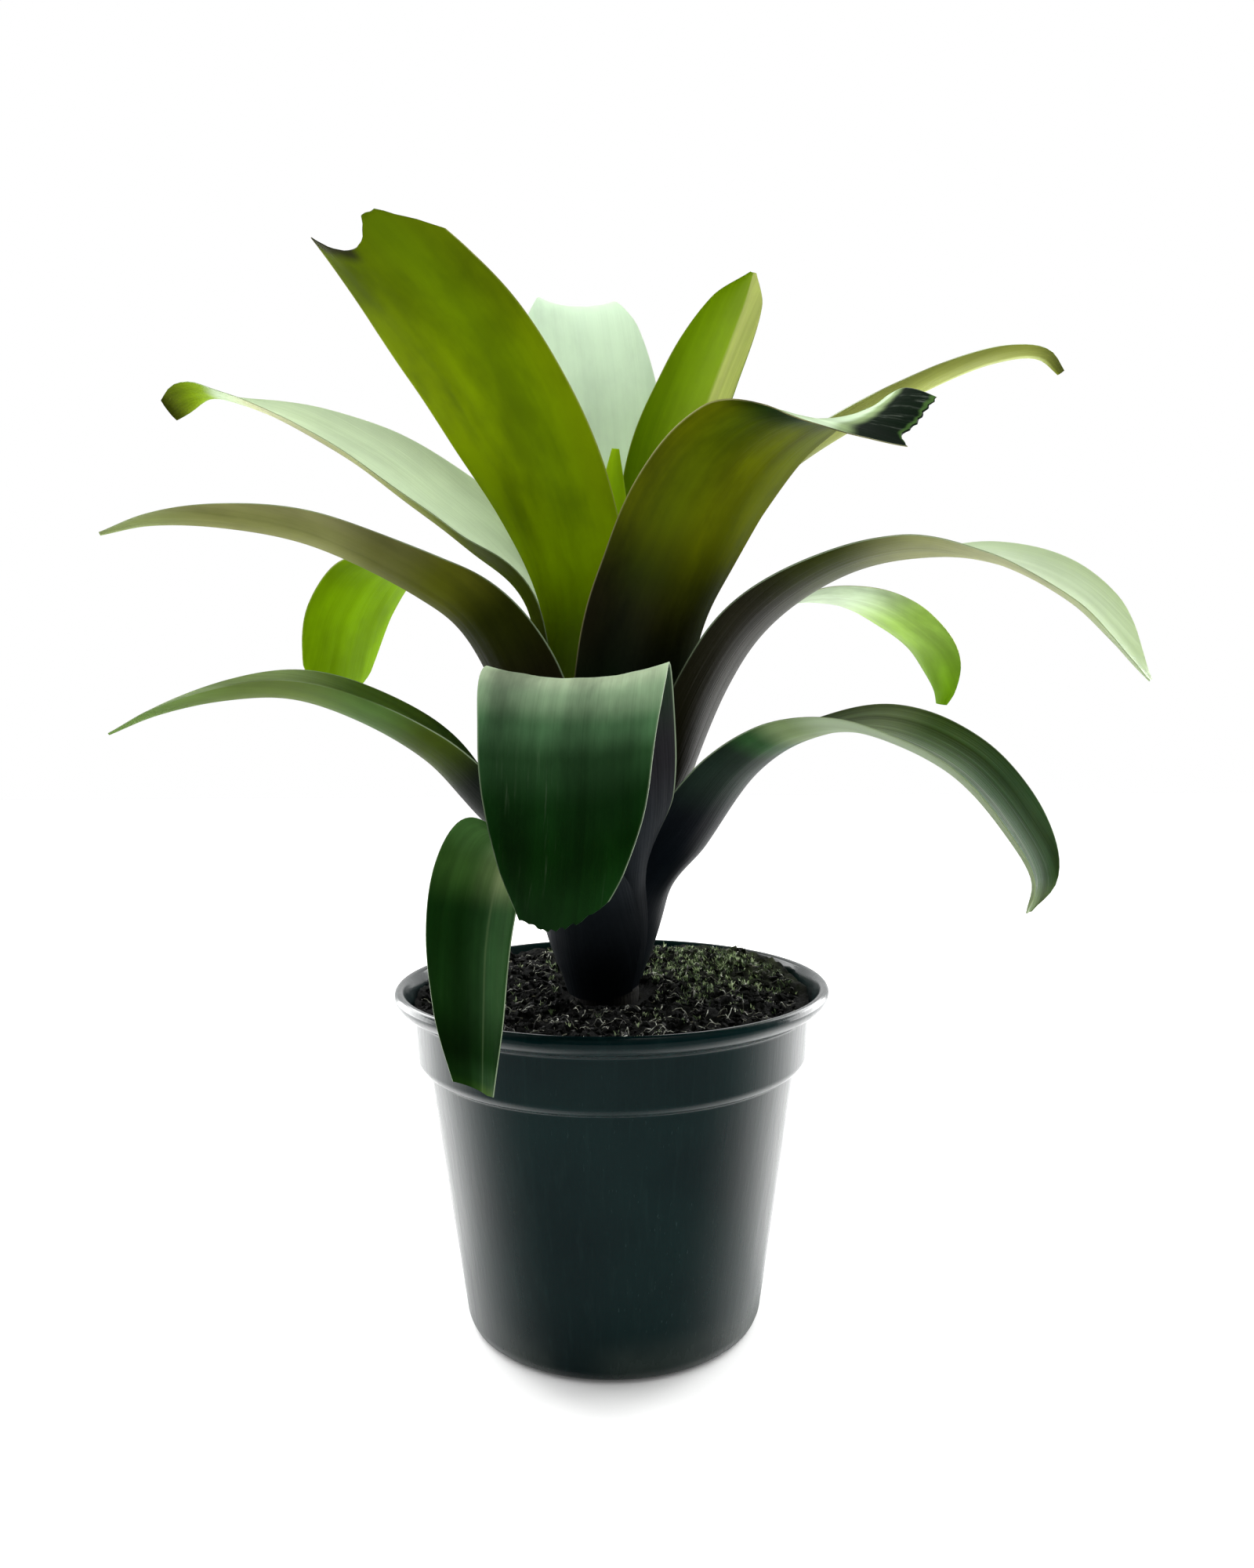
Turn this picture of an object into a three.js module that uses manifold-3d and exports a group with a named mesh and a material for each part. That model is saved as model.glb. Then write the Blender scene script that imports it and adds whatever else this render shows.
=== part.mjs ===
// Potted imperial bromeliad: a rosette of broad strap leaves on a short stem, in a filled nursery pot.
// Units are millimetres, +Z is up, the origin is the centre of the pot's underside, -Y faces the viewer.

import * as THREE from 'three';
import Module from 'manifold-3d';

const wasm = await Module();
wasm.setup();

// Pot
const POT_HEIGHT = 187;
const POT_SEGMENTS = 52;
const POT_WALL = 1.6;
const BASE_RADIUS = 82;
const BASE_CORNER = 6;
const CORNER_SHARE = 0.3;
const BODY_TOP_RADIUS = 101.8;
const BODY_TOP_HEIGHT = 144;
const COLLAR_LOW_RADIUS = 107.8;
const COLLAR_LOW_HEIGHT = 149;
const COLLAR_TOP_RADIUS = 109.6;
const COLLAR_TOP_HEIGHT = 174;
const RIM_RADIUS = 120;
const RIM_THICKNESS = 6.5;
const STEP_OUT = 3.6;
const STEP_UP = 1.4;
const FLARE_OUT = 3.2;
const FLARE_UP = 2.2;
const THROAT_OUT = 1.2;
const THROAT_UP = 4;
const INSIDE_STEP = 1;
const FLOOR_CORNER = 3;
const RECESS_DRAFT = 1;
const BASE_RECESS = 3;
const BASE_FLOOR = 2.2;
const BASE_PAD_RADIUS = 44;
const BASE_RING_INNER = 66;
const DRAIN_HOLES = 8;
const DRAIN_RADIUS = 4.5;
const DRAIN_CIRCLE = 55;
const DRAIN_SIDES = 10;
const DRAIN_CUT = 20;

// Section of the rolled rim, as shares of its thickness: inward from its edge and down from its top
const RIM_NECK = [0.6, 1.45];
const RIM_SECTION = [[0.2, 1], [0, 0.6], [0.12, 0.22], [0.4, 0], [0.75, 0.08], [1, 0.5]];

// Soil
const SOIL_GAP = 0.4;
const SOIL_LEVEL = 178;
const SOIL_SEGMENTS = 40;
const SOIL_RINGS = [20.6, 26, 34, 44, 56, 70, 84, 97];
const SOIL_SOCKET_RADIUS = 18.4;
const SOIL_SOCKET_FLOOR = 148;
const SOIL_CLEAR_OF_SHEATHS = 6;
const SOIL_CORNER = 5;
const SOIL_SIDE_IN = 0.4;
const SOIL_STEP_IN = 0.8;
const SOIL_STEP_UP = 4;
const SOIL_EDGE_OUT = 1.2;
const SOIL_EDGE_DEPTH = 6;
const SOIL_TOP_DEPTH = 1;
const RING_MARGIN = 0.5;
const FOOT_RADIUS = 24;
const FOOT_DIP = 2;
const BACK_RISE = 5;
const BACK_RISE_START = -20;
const BACK_RISE_LENGTH = 100;
const HEAP_X = 66;
const HEAP_Y = 54;
const HEAP_HEIGHT = 5;
const HEAP_SPREAD = 46;
const LUMP_LENGTH = 9;
const LUMP_PHASE = 1.3;
const COARSE_LUMP = 1.1;
const FINE_LUMP_LENGTH = 5.5;
const FINE_LUMP = 0.8;

// Plant axis, stem and sheath funnel
const AXIS_X = -3;
const STEM_SEGMENTS = 32;
const STEM_SOCKET_RADIUS = 17.8;
const STEM_TOP = 268;
const STEM_CORNER = 4;
const STEM_RING_STEP = 12;
const STEM_TIP_RISE = 2;
const FUNNEL_HEIGHTS = [150, 178, 190, 199, 217, 232, 253, 280, 320, 361, 420, 520];
const FUNNEL_RADII = [18, 21, 24.5, 28, 34, 38, 42, 46, 50, 54, 60, 70];
const STEM_HEIGHTS = [176, 186, 210, 240, 268];
const STEM_RADII = [18.4, 17.8, 15.3, 12, 8];
const LAYER_PITCH = 2.5;
const SHEATH_HALF_ANGLE = 67;
const LOWEST_LEAF_START = 180;
const LEAF_START_STEP = 0.25;
const STEM_CLEARANCE = 0.3;
const FUNNEL_HOLD_TOP = 400;
const FUNNEL_HOLD_FADE = 90;
const SHEATH_EASE = 0.14;

// Leaf blades
const LEAF_STATIONS = 18;
const LEAF_COLUMNS = 7;
const BASE_THICKNESS = 1.5;
const TIP_THICKNESS = 1.1;
const EDGE_THICKNESS = 0.9;
const TEAR_START = 0.6;
const EDGE_START = 0.5;

// Each leaf: layer in the funnel (0 is outermost), heading in degrees, height where the midrib leaves
// the funnel, the midrib's points beyond it, and along the length: half width, half angle of the
// channel section and twist in degrees. A torn leaf also has the share of length missing across its tip.
const LEAVES = [
  {
    name: 'leaf_front_left_low', layer: 0, heading: -117, depart: 212,
    path: [[-26, -52, 246], [-38, -85, 270], [-47, -108, 275], [-53, -124, 262], [-57, -133, 238],
      [-58, -137, 205], [-57, -141, 168]],
    half: [[0.2, 38], [0.42, 26], [0.6, 27], [0.85, 20], [1, 10]],
    cup: [[0.2, 62], [0.45, 45], [0.6, 50], [1, 40]],
    twist: [[0, 0], [0.5, 0], [1, -8]],
    torn: [0.024, 0.016, 0.008, 0, 0],
  },
  {
    name: 'leaf_right_low', layer: 2, heading: -27, depart: 224,
    path: [[50, -26, 267], [73, -41, 303], [97, -58, 321], [127, -79, 326], [163, -102, 309],
      [185, -115, 281], [194, -121, 259], [191, -119, 244]],
    half: [[0.2, 34], [0.31, 41], [0.6, 35], [0.85, 33], [0.96, 19], [1, 3]],
    cup: [[0.2, 66], [0.4, 44], [0.7, 30], [1, 30]],
    twist: [[0, 0], [0.5, 0], [0.7, 10], [1, 5]],
  },
  {
    name: 'leaf_front_hanging', layer: 1, heading: -97, depart: 218,
    path: [[-6, -70, 292], [-9, -105, 330], [-12, -135, 350], [-14, -152, 343], [-16, -162, 322],
      [-17, -166, 295], [-19, -168, 268], [-22, -168, 243]],
    half: [[0.12, 28], [0.22, 29], [0.36, 40], [0.66, 41], [0.74, 38], [0.82, 35], [0.91, 27], [1, 12]],
    cup: [[0.2, 60], [0.45, 27], [0.6, 22], [0.8, 12], [1, 16]],
    twist: [[0, 0], [1, 0]],
    torn: [0.014, 0.01, 0.004, 0.006, 0.012, 0.022, 0.05],
  },
  {
    name: 'leaf_back_low', layer: 1, heading: 82, depart: 222,
    path: [[2, 66, 286], [4, 96, 326], [4, 124, 342], [2, 150, 336], [-2, 170, 312], [-6, 180, 282],
      [-9, 184, 262]],
    half: [[0.2, 40], [0.45, 34], [0.7, 32], [0.9, 22], [1, 3]],
    cup: [[0.2, 60], [0.45, 35], [0.7, 20], [1, 20]],
    twist: [[0, 0], [1, 6]],
  },
  {
    name: 'leaf_left_low', layer: 3, heading: 186, depart: 238,
    path: [[-75, -8, 283], [-100, -10, 311], [-135, -14, 333], [-170, -18, 345], [-205, -22, 344],
      [-240, -26, 336], [-264, -29, 326]],
    half: [[0.2, 40], [0.4, 40], [0.6, 37], [0.85, 19], [1, 2]],
    cup: [[0.2, 62], [0.45, 55], [0.7, 45], [1, 40]],
    twist: [[0, 0], [0.3, 6], [0.5, -3], [0.8, -8], [1, -6]],
  },
  {
    name: 'leaf_right_mid', layer: 4, heading: -14, depart: 256,
    path: [[62, -15, 349], [86, -21, 383], [125, -31, 408], [162, -41, 415], [200, -53, 409],
      [232, -65, 390], [264, -76, 350]],
    half: [[0.2, 44], [0.42, 45], [0.6, 35], [0.78, 36], [0.9, 33], [1, 3]],
    cup: [[0.2, 55], [0.45, 45], [0.7, 22], [1, 25]],
    twist: [[0, 0], [0.66, 0], [0.76, 12], [0.86, 22], [1, 24]],
  },
  {
    name: 'leaf_back_right_low', layer: 3, heading: 34, depart: 242,
    path: [[58, 46, 346], [84, 63, 387], [112, 79, 402], [139, 94, 404], [162, 106, 400],
      [186, 118, 389], [208, 128, 372], [218, 134, 350], [218, 136, 340]],
    half: [[0.2, 26], [0.42, 18], [0.58, 23], [0.8, 29], [0.93, 20], [1, 5]],
    cup: [[0.2, 55], [0.45, 35], [0.7, 30], [1, 35]],
    twist: [[0, 0], [1, 0]],
  },
  {
    name: 'leaf_left_mid', layer: 5, heading: 195, depart: 266,
    path: [[-54, -14, 334], [-77, -20, 380], [-99, -27, 398], [-152, -43, 424], [-194, -56, 431],
      [-226, -65, 430], [-247, -71, 424]],
    half: [[0.2, 41], [0.27, 43], [0.38, 48], [0.6, 33], [0.85, 16], [1, 2]],
    cup: [[0.2, 70], [0.45, 60], [0.7, 40], [1, 40]],
    twist: [[0, 0], [0.24, 0], [0.42, 8], [1, 10]],
  },
  {
    name: 'leaf_back_left_low', layer: 4, heading: 143, depart: 254,
    path: [[-53, 42, 344], [-85, 66, 396], [-118, 93, 424], [-146, 112, 424], [-166, 122, 401],
      [-176, 127, 371], [-181, 129, 347]],
    half: [[0.2, 36], [0.45, 25], [0.65, 32], [0.85, 36], [0.95, 30], [1, 13]],
    cup: [[0.2, 55], [0.45, 35], [0.7, 20], [1, 20]],
    twist: [[0, 0], [1, 0]],
  },
  {
    name: 'leaf_front_right', layer: 6, heading: -58, depart: 272,
    path: [[25, -32, 375], [37, -40, 408], [52, -52, 440], [69, -68, 461], [88, -90, 470],
      [107, -116, 466], [121, -138, 461], [134, -154, 454]],
    half: [[0.2, 40], [0.45, 41], [0.6, 43], [0.75, 43], [0.85, 31], [0.92, 19], [1, 12]],
    cup: [[0.2, 58], [0.5, 35], [0.7, 20], [1, 20]],
    twist: [[0, 0], [0.74, 0], [0.83, 5], [0.89, 21], [0.945, 45], [1, 64]],
    torn: [0, 0.02, 0.012, 0.01, 0],
  },
  {
    name: 'leaf_right_high', layer: 7, heading: 17, depart: 284,
    path: [[42, 13, 396], [66, 21, 436], [105, 33, 475], [168, 52, 515], [234, 69, 546],
      [262, 75, 549], [274, 79, 540]],
    half: [[0.2, 38], [0.5, 29], [0.7, 22], [0.9, 11], [1, 3]],
    cup: [[0.2, 55], [0.5, 40], [0.7, 40], [1, 30]],
    twist: [[0, 0], [0.5, -10], [1, -20]],
  },
  {
    name: 'leaf_left_high', layer: 6, heading: 166, depart: 285,
    path: [[-43, 11, 394], [-70, 18, 426], [-105, 26, 455], [-139, 35, 481], [-184, 47, 506],
      [-218, 56, 519], [-243, 63, 526], [-255, 66, 524], [-265, 68, 518]],
    half: [[0.2, 36], [0.3, 38], [0.38, 43], [0.52, 44], [0.7, 35], [0.85, 17], [0.92, 10],
      [0.97, 10], [1, 7]],
    cup: [[0.2, 55], [0.5, 40], [0.7, 40], [1, 30]],
    twist: [[0, 0], [0.38, 0], [0.52, -16], [0.8, -20], [0.92, 0], [1, 65]],
  },
  {
    name: 'leaf_front_left_tall', layer: 7, heading: -140, depart: 292,
    path: [[-22, -16, 382], [-34, -30, 440], [-62, -60, 499], [-88, -82, 532], [-118, -109, 560]],
    half: [[0.2, 31], [0.4, 33], [0.56, 42], [0.8, 38], [1, 24]],
    cup: [[0.2, 58], [0.5, 30], [0.8, 20], [1, 30]],
    twist: [[0, 0], [0.45, 2], [0.7, 22], [1, 30]],
    torn: [0, 0.018, 0.032, 0.038, 0.033, 0.016, 0.02, 0.048, 0.085],
  },
  {
    name: 'leaf_back_right_tall', layer: 9, heading: 40, depart: 306,
    path: [[27, 20, 400], [39, 29, 478], [53, 41, 518], [69, 55, 558], [86, 69, 597]],
    half: [[0.2, 29], [0.4, 28], [0.54, 31], [0.8, 26], [0.93, 17], [1, 2]],
    cup: [[0.2, 60], [0.5, 55], [0.8, 50], [1, 40]],
    twist: [[0, 0], [0.5, 0], [0.75, 32], [1, 35]],
  },
  {
    name: 'leaf_back_tall', layer: 8, heading: 97, depart: 300,
    path: [[-5, 40, 400], [-9, 49, 473], [-14, 64, 534], [-20, 95, 585], [-22, 130, 591],
      [-24, 168, 573]],
    half: [[0.2, 32], [0.38, 34], [0.52, 46], [0.66, 42], [0.77, 35], [0.83, 26], [0.9, 20], [1, 5]],
    cup: [[0.2, 60], [0.5, 30], [0.8, 20], [1, 20]],
    twist: [[0, 0], [1, 0]],
  },
  {
    name: 'leaf_young_front', layer: 9, heading: -100, depart: 320,
    path: [[1, -18, 370], [5, -14, 400], [11, -8, 436]],
    half: [[0.3, 24], [0.6, 20], [0.85, 15], [1, 6]],
    cup: [[0.3, 60], [0.6, 60], [1, 50]],
    twist: [[0, 0], [1, 0]],
  },
  {
    name: 'leaf_young_back', layer: 10, heading: 100, depart: 325,
    path: [[-4, 16, 380], [0, 12, 430], [4, 4, 480]],
    half: [[0.3, 22], [0.6, 18], [0.85, 11], [1, 2]],
    cup: [[0.3, 60], [0.6, 65], [1, 50]],
    twist: [[0, 0], [1, 0]],
  },
];

const ARC_DIVISIONS = 400;
const SMALL_SHIFT = 1e-3;
const RADIANS = Math.PI / 180;

function material(color, roughness) {
  return new THREE.MeshStandardMaterial({ color, roughness, metalness: 0 });
}

function smooth(x) {
  const t = Math.min(1, Math.max(0, x));
  return t * t * (3 - 2 * t);
}

// Cubic curve through rising knots that never overshoots them
function throughKnots(xs, ys, x) {
  const last = xs.length - 1;
  const steps = [];
  for (let i = 0; i < last; i += 1) steps.push((ys[i + 1] - ys[i]) / (xs[i + 1] - xs[i]));
  const slopes = ys.map((_, i) => {
    if (i === 0) return steps[0];
    if (i === last) return steps[last - 1];
    if (steps[i - 1] * steps[i] <= 0) return 0;
    const before = xs[i] - xs[i - 1];
    const after = xs[i + 1] - xs[i];
    const w1 = 2 * after + before;
    const w2 = after + 2 * before;
    return (w1 + w2) / (w1 / steps[i - 1] + w2 / steps[i]);
  });
  let k = 0;
  while (k < last - 1 && x > xs[k + 1]) k += 1;
  const width = xs[k + 1] - xs[k];
  const t = Math.min(1, Math.max(0, (x - xs[k]) / width));
  const a = (2 * t - 3) * t * t + 1;
  const b = ((t - 2) * t + 1) * t;
  const d = (t - 1) * t * t;
  return a * ys[k] + b * width * slopes[k] + (1 - a) * ys[k + 1] + d * width * slopes[k + 1];
}

function alongLeaf(knots, s) {
  return throughKnots(knots.map((k) => k[0]), knots.map((k) => k[1]), s);
}

function funnelRadius(layer, z) {
  return throughKnots(FUNNEL_HEIGHTS, FUNNEL_RADII, z) - layer * LAYER_PITCH;
}

function stemRadius(z) {
  return throughKnots(STEM_HEIGHTS, STEM_RADII, z);
}

// Lowest height at which a layer clears the stem, facets included
function leafStart(layer) {
  const facet = Math.cos((SHEATH_HALF_ANGLE / (LEAF_COLUMNS - 1)) * RADIANS);
  let z = LOWEST_LEAF_START;
  while ((funnelRadius(layer, z) - BASE_THICKNESS / 2) * facet - STEM_CLEARANCE < stemRadius(z)) {
    z += LEAF_START_STEP;
  }
  return z;
}

function midribCurve(leaf, start) {
  const points = [0, 0.5, 1].map((share) => {
    const z = start + (leaf.depart - start) * share;
    const r = funnelRadius(leaf.layer, z);
    const x = AXIS_X + r * Math.cos(leaf.heading * RADIANS);
    return new THREE.Vector3(x, r * Math.sin(leaf.heading * RADIANS), z);
  });
  const sheathLength = points[0].distanceTo(points[1]) + points[1].distanceTo(points[2]);
  leaf.path.forEach((p) => points.push(new THREE.Vector3(...p)));
  const curve = new THREE.CatmullRomCurve3(points, false, 'centripetal');
  curve.arcLengthDivisions = ARC_DIVISIONS;
  return { curve, sheathShare: sheathLength / curve.getLength() };
}

function tornShare(torn, t) {
  if (!torn) return 0;
  const place = ((t + 1) / 2) * (torn.length - 1);
  const k = Math.min(torn.length - 2, Math.floor(place));
  return torn[k] + (torn[k + 1] - torn[k]) * (place - k);
}

// Point on the blade's middle surface, s along the leaf and t across it from -1 to 1
function bladePoint(leaf, shape, s, t) {
  const { curve, sheathShare, start } = shape;
  const u = s * (1 - tornShare(leaf.torn, t) * smooth((s - TEAR_START) / (1 - TEAR_START)));
  const heading = leaf.heading * RADIANS;
  const mid = curve.getPointAt(u);
  const ahead = curve.getPointAt(Math.min(1, u + SMALL_SHIFT));
  const tangent = ahead.sub(curve.getPointAt(Math.max(0, u - SMALL_SHIFT))).normalize();
  const side = new THREE.Vector3(-Math.sin(heading), Math.cos(heading), 0);
  side.addScaledVector(tangent, -side.dot(tangent)).normalize();
  side.applyAxisAngle(tangent, alongLeaf(leaf.twist, u) * RADIANS);
  const up = new THREE.Vector3().crossVectors(tangent, side);
  const baseHalf = funnelRadius(leaf.layer, start) * SHEATH_HALF_ANGLE * RADIANS;
  const half = alongLeaf([[0, baseHalf], ...leaf.half], u);
  const cup = alongLeaf([[0, SHEATH_HALF_ANGLE], ...leaf.cup], u) * RADIANS;
  const bend = half / cup;
  const point = mid.addScaledVector(side, bend * Math.sin(cup * t));
  point.addScaledVector(up, bend * (1 - Math.cos(cup * t)));
  return holdToFunnel(leaf, point, 1 - smooth((u - sheathShare) / SHEATH_EASE));
}

// Draw a point onto its funnel layer by a share, and never let it fall inside the layer low down
function holdToFunnel(leaf, point, share) {
  point.x -= AXIS_X;
  const r = Math.max(1e-6, Math.hypot(point.x, point.y));
  const layer = funnelRadius(leaf.layer, point.z);
  let wanted = r + (layer - r) * share;
  const hold = 1 - smooth((point.z - (FUNNEL_HOLD_TOP - FUNNEL_HOLD_FADE)) / FUNNEL_HOLD_FADE);
  wanted += Math.max(0, layer - wanted) * hold;
  point.x = AXIS_X + point.x * (wanted / r);
  point.y *= wanted / r;
  return point;
}

function bladeNormal(leaf, shape, s, t) {
  const along = bladePoint(leaf, shape, Math.min(1, s + SMALL_SHIFT), t);
  along.sub(bladePoint(leaf, shape, Math.max(0, s - SMALL_SHIFT), t));
  const across = bladePoint(leaf, shape, s, Math.min(1, t + SMALL_SHIFT));
  across.sub(bladePoint(leaf, shape, s, Math.max(-1, t - SMALL_SHIFT)));
  return along.cross(across).normalize();
}

function bladeThickness(s, t) {
  const middle = BASE_THICKNESS + (TIP_THICKNESS - BASE_THICKNESS) * s;
  return middle + (EDGE_THICKNESS - middle) * smooth((Math.abs(t) - EDGE_START) / (1 - EDGE_START));
}

// Closed blade: a lower and an upper face split alike, joined round the edge
function bladeGeometry(leaf) {
  const start = leafStart(leaf.layer);
  const shape = { ...midribCurve(leaf, start), start };
  const lower = [];
  const upper = [];
  for (let i = 0; i < LEAF_STATIONS; i += 1) {
    for (let j = 0; j < LEAF_COLUMNS; j += 1) {
      const s = i / (LEAF_STATIONS - 1);
      const t = (2 * j) / (LEAF_COLUMNS - 1) - 1;
      const point = bladePoint(leaf, shape, s, t);
      const offset = bladeNormal(leaf, shape, s, t).multiplyScalar(bladeThickness(s, t) / 2);
      lower.push(point.clone().sub(offset));
      upper.push(point.clone().add(offset));
    }
  }
  const indices = [];
  const count = lower.length;
  const quad = (a, b, c, d) => indices.push(a, b, c, a, c, d);
  for (let i = 0; i < LEAF_STATIONS - 1; i += 1) {
    for (let j = 0; j < LEAF_COLUMNS - 1; j += 1) {
      const a = i * LEAF_COLUMNS + j;
      const b = a + LEAF_COLUMNS;
      indices.push(a, a + 1, b + 1, a, b + 1, b);
      indices.push(count + a, count + b + 1, count + a + 1, count + a, count + b, count + b + 1);
    }
    const left = i * LEAF_COLUMNS;
    const right = left + LEAF_COLUMNS - 1;
    quad(left, left + LEAF_COLUMNS, count + left + LEAF_COLUMNS, count + left);
    quad(right + LEAF_COLUMNS, right, count + right, count + right + LEAF_COLUMNS);
  }
  const tip = (LEAF_STATIONS - 1) * LEAF_COLUMNS;
  for (let j = 0; j < LEAF_COLUMNS - 1; j += 1) {
    quad(j + 1, j, count + j, count + j + 1);
    quad(tip + j, tip + j + 1, count + tip + j + 1, count + tip + j);
  }
  return geometryFrom([...lower, ...upper], indices);
}

function geometryFrom(points, indices) {
  const geometry = new THREE.BufferGeometry();
  geometry.setAttribute('position', new THREE.Float32BufferAttribute(points.flatMap((p) => p.toArray()), 3));
  geometry.setIndex(indices);
  geometry.computeVertexNormals();
  return geometry;
}

function leafMesh(leaf) {
  const mesh = new THREE.Mesh(bladeGeometry(leaf), material(0x4f7a1e, 0.35));
  mesh.name = leaf.name;
  return mesh;
}

// Outside of the pot from the base corner up to the underside of the rim
function potOutside() {
  return [
    [BASE_RADIUS - BASE_CORNER, 0],
    [BASE_RADIUS - BASE_CORNER * CORNER_SHARE, BASE_CORNER * CORNER_SHARE],
    [BASE_RADIUS, BASE_CORNER],
    [BODY_TOP_RADIUS, BODY_TOP_HEIGHT],
    [BODY_TOP_RADIUS + STEP_OUT, BODY_TOP_HEIGHT + STEP_UP],
    [COLLAR_LOW_RADIUS, COLLAR_LOW_HEIGHT],
    [COLLAR_TOP_RADIUS, COLLAR_TOP_HEIGHT],
    [COLLAR_TOP_RADIUS + FLARE_OUT, COLLAR_TOP_HEIGHT + FLARE_UP],
    rimPoint(RIM_NECK),
  ];
}

function rimPoint([inward, down]) {
  return [RIM_RADIUS - RIM_THICKNESS * inward, POT_HEIGHT - RIM_THICKNESS * down];
}

// Inside of the pot from the rim down to the floor
function potInside() {
  return [
    [COLLAR_TOP_RADIUS + THROAT_OUT, COLLAR_TOP_HEIGHT + THROAT_UP],
    [COLLAR_TOP_RADIUS - POT_WALL, COLLAR_TOP_HEIGHT],
    [COLLAR_LOW_RADIUS - POT_WALL, COLLAR_LOW_HEIGHT + INSIDE_STEP],
    [BODY_TOP_RADIUS - POT_WALL, BODY_TOP_HEIGHT + INSIDE_STEP],
    [BASE_RADIUS - POT_WALL, BASE_RECESS + BASE_FLOOR + FLOOR_CORNER],
    [BASE_RADIUS - POT_WALL - FLOOR_CORNER, BASE_RECESS + BASE_FLOOR],
  ];
}

function potUnderside() {
  return [
    [BASE_PAD_RADIUS, 0],
    [BASE_PAD_RADIUS + RECESS_DRAFT, BASE_RECESS],
    [BASE_RING_INNER - RECESS_DRAFT, BASE_RECESS],
    [BASE_RING_INNER, 0],
  ];
}

function lathe(profile, segments) {
  const geometry = new THREE.LatheGeometry(profile.map((p) => new THREE.Vector2(p[0], p[1])), segments);
  return geometry.rotateX(Math.PI / 2);
}

function toManifold(geometry) {
  const positions = geometry.getAttribute('position').array;
  const keys = new Map();
  const vertices = [];
  const remap = [];
  for (let i = 0; i < positions.length; i += 3) {
    const key = [0, 1, 2].map((k) => Math.round(positions[i + k] * 1e4)).join();
    if (!keys.has(key)) {
      keys.set(key, vertices.length / 3);
      vertices.push(positions[i], positions[i + 1], positions[i + 2]);
    }
    remap.push(keys.get(key));
  }
  const triangles = [];
  const index = geometry.getIndex().array;
  for (let i = 0; i < index.length; i += 3) {
    const [a, b, c] = [remap[index[i]], remap[index[i + 1]], remap[index[i + 2]]];
    if (a !== b && b !== c && c !== a) triangles.push(a, b, c);
  }
  return new wasm.Manifold(new wasm.Mesh({
    numProp: 3,
    vertProperties: new Float32Array(vertices),
    triVerts: new Uint32Array(triangles),
  }));
}

function fromManifold(solid) {
  const mesh = solid.getMesh();
  const geometry = new THREE.BufferGeometry();
  geometry.setAttribute('position', new THREE.BufferAttribute(mesh.vertProperties, 3));
  geometry.setIndex(new THREE.BufferAttribute(mesh.triVerts, 1));
  geometry.computeVertexNormals();
  return geometry;
}

function drainHole(k) {
  const geometry = new THREE.CylinderGeometry(DRAIN_RADIUS, DRAIN_RADIUS, DRAIN_CUT, DRAIN_SIDES);
  geometry.rotateX(Math.PI / 2);
  const angle = (2 * Math.PI * (k + 0.5)) / DRAIN_HOLES;
  return geometry.translate(DRAIN_CIRCLE * Math.cos(angle), DRAIN_CIRCLE * Math.sin(angle), 0);
}

function potMesh() {
  const profile = [
    [0, 0], ...potUnderside(), ...potOutside(), ...RIM_SECTION.map(rimPoint), ...potInside(),
    [0, BASE_RECESS + BASE_FLOOR],
  ];
  let solid = toManifold(lathe(profile, POT_SEGMENTS));
  for (let k = 0; k < DRAIN_HOLES; k += 1) solid = solid.subtract(toManifold(drainHole(k)));
  const mesh = new THREE.Mesh(fromManifold(solid), material(0x18272a, 0.25));
  mesh.name = 'pot';
  return mesh;
}

// Height of the soil surface: low in front, rising to the back, heaped against the back right of the rim
function soilHeight(x, y) {
  const spread = ((x - HEAP_X) ** 2 + (y - HEAP_Y) ** 2) / HEAP_SPREAD ** 2;
  const heap = HEAP_HEIGHT * Math.exp(-spread);
  const coarse = Math.sin(x / LUMP_LENGTH + LUMP_PHASE) * Math.cos(y / (LUMP_LENGTH - 1));
  const fine = Math.sin((x + y) / FINE_LUMP_LENGTH);
  const rise = BACK_RISE * smooth((y - BACK_RISE_START) / BACK_RISE_LENGTH);
  const lumps = COARSE_LUMP * coarse + FINE_LUMP * fine;
  const clear = smooth((Math.hypot(x - AXIS_X, y) - FOOT_RADIUS) / SOIL_CLEAR_OF_SHEATHS);
  return SOIL_LEVEL - FOOT_DIP * (1 - clear) + (heap + rise + lumps) * clear;
}

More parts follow.
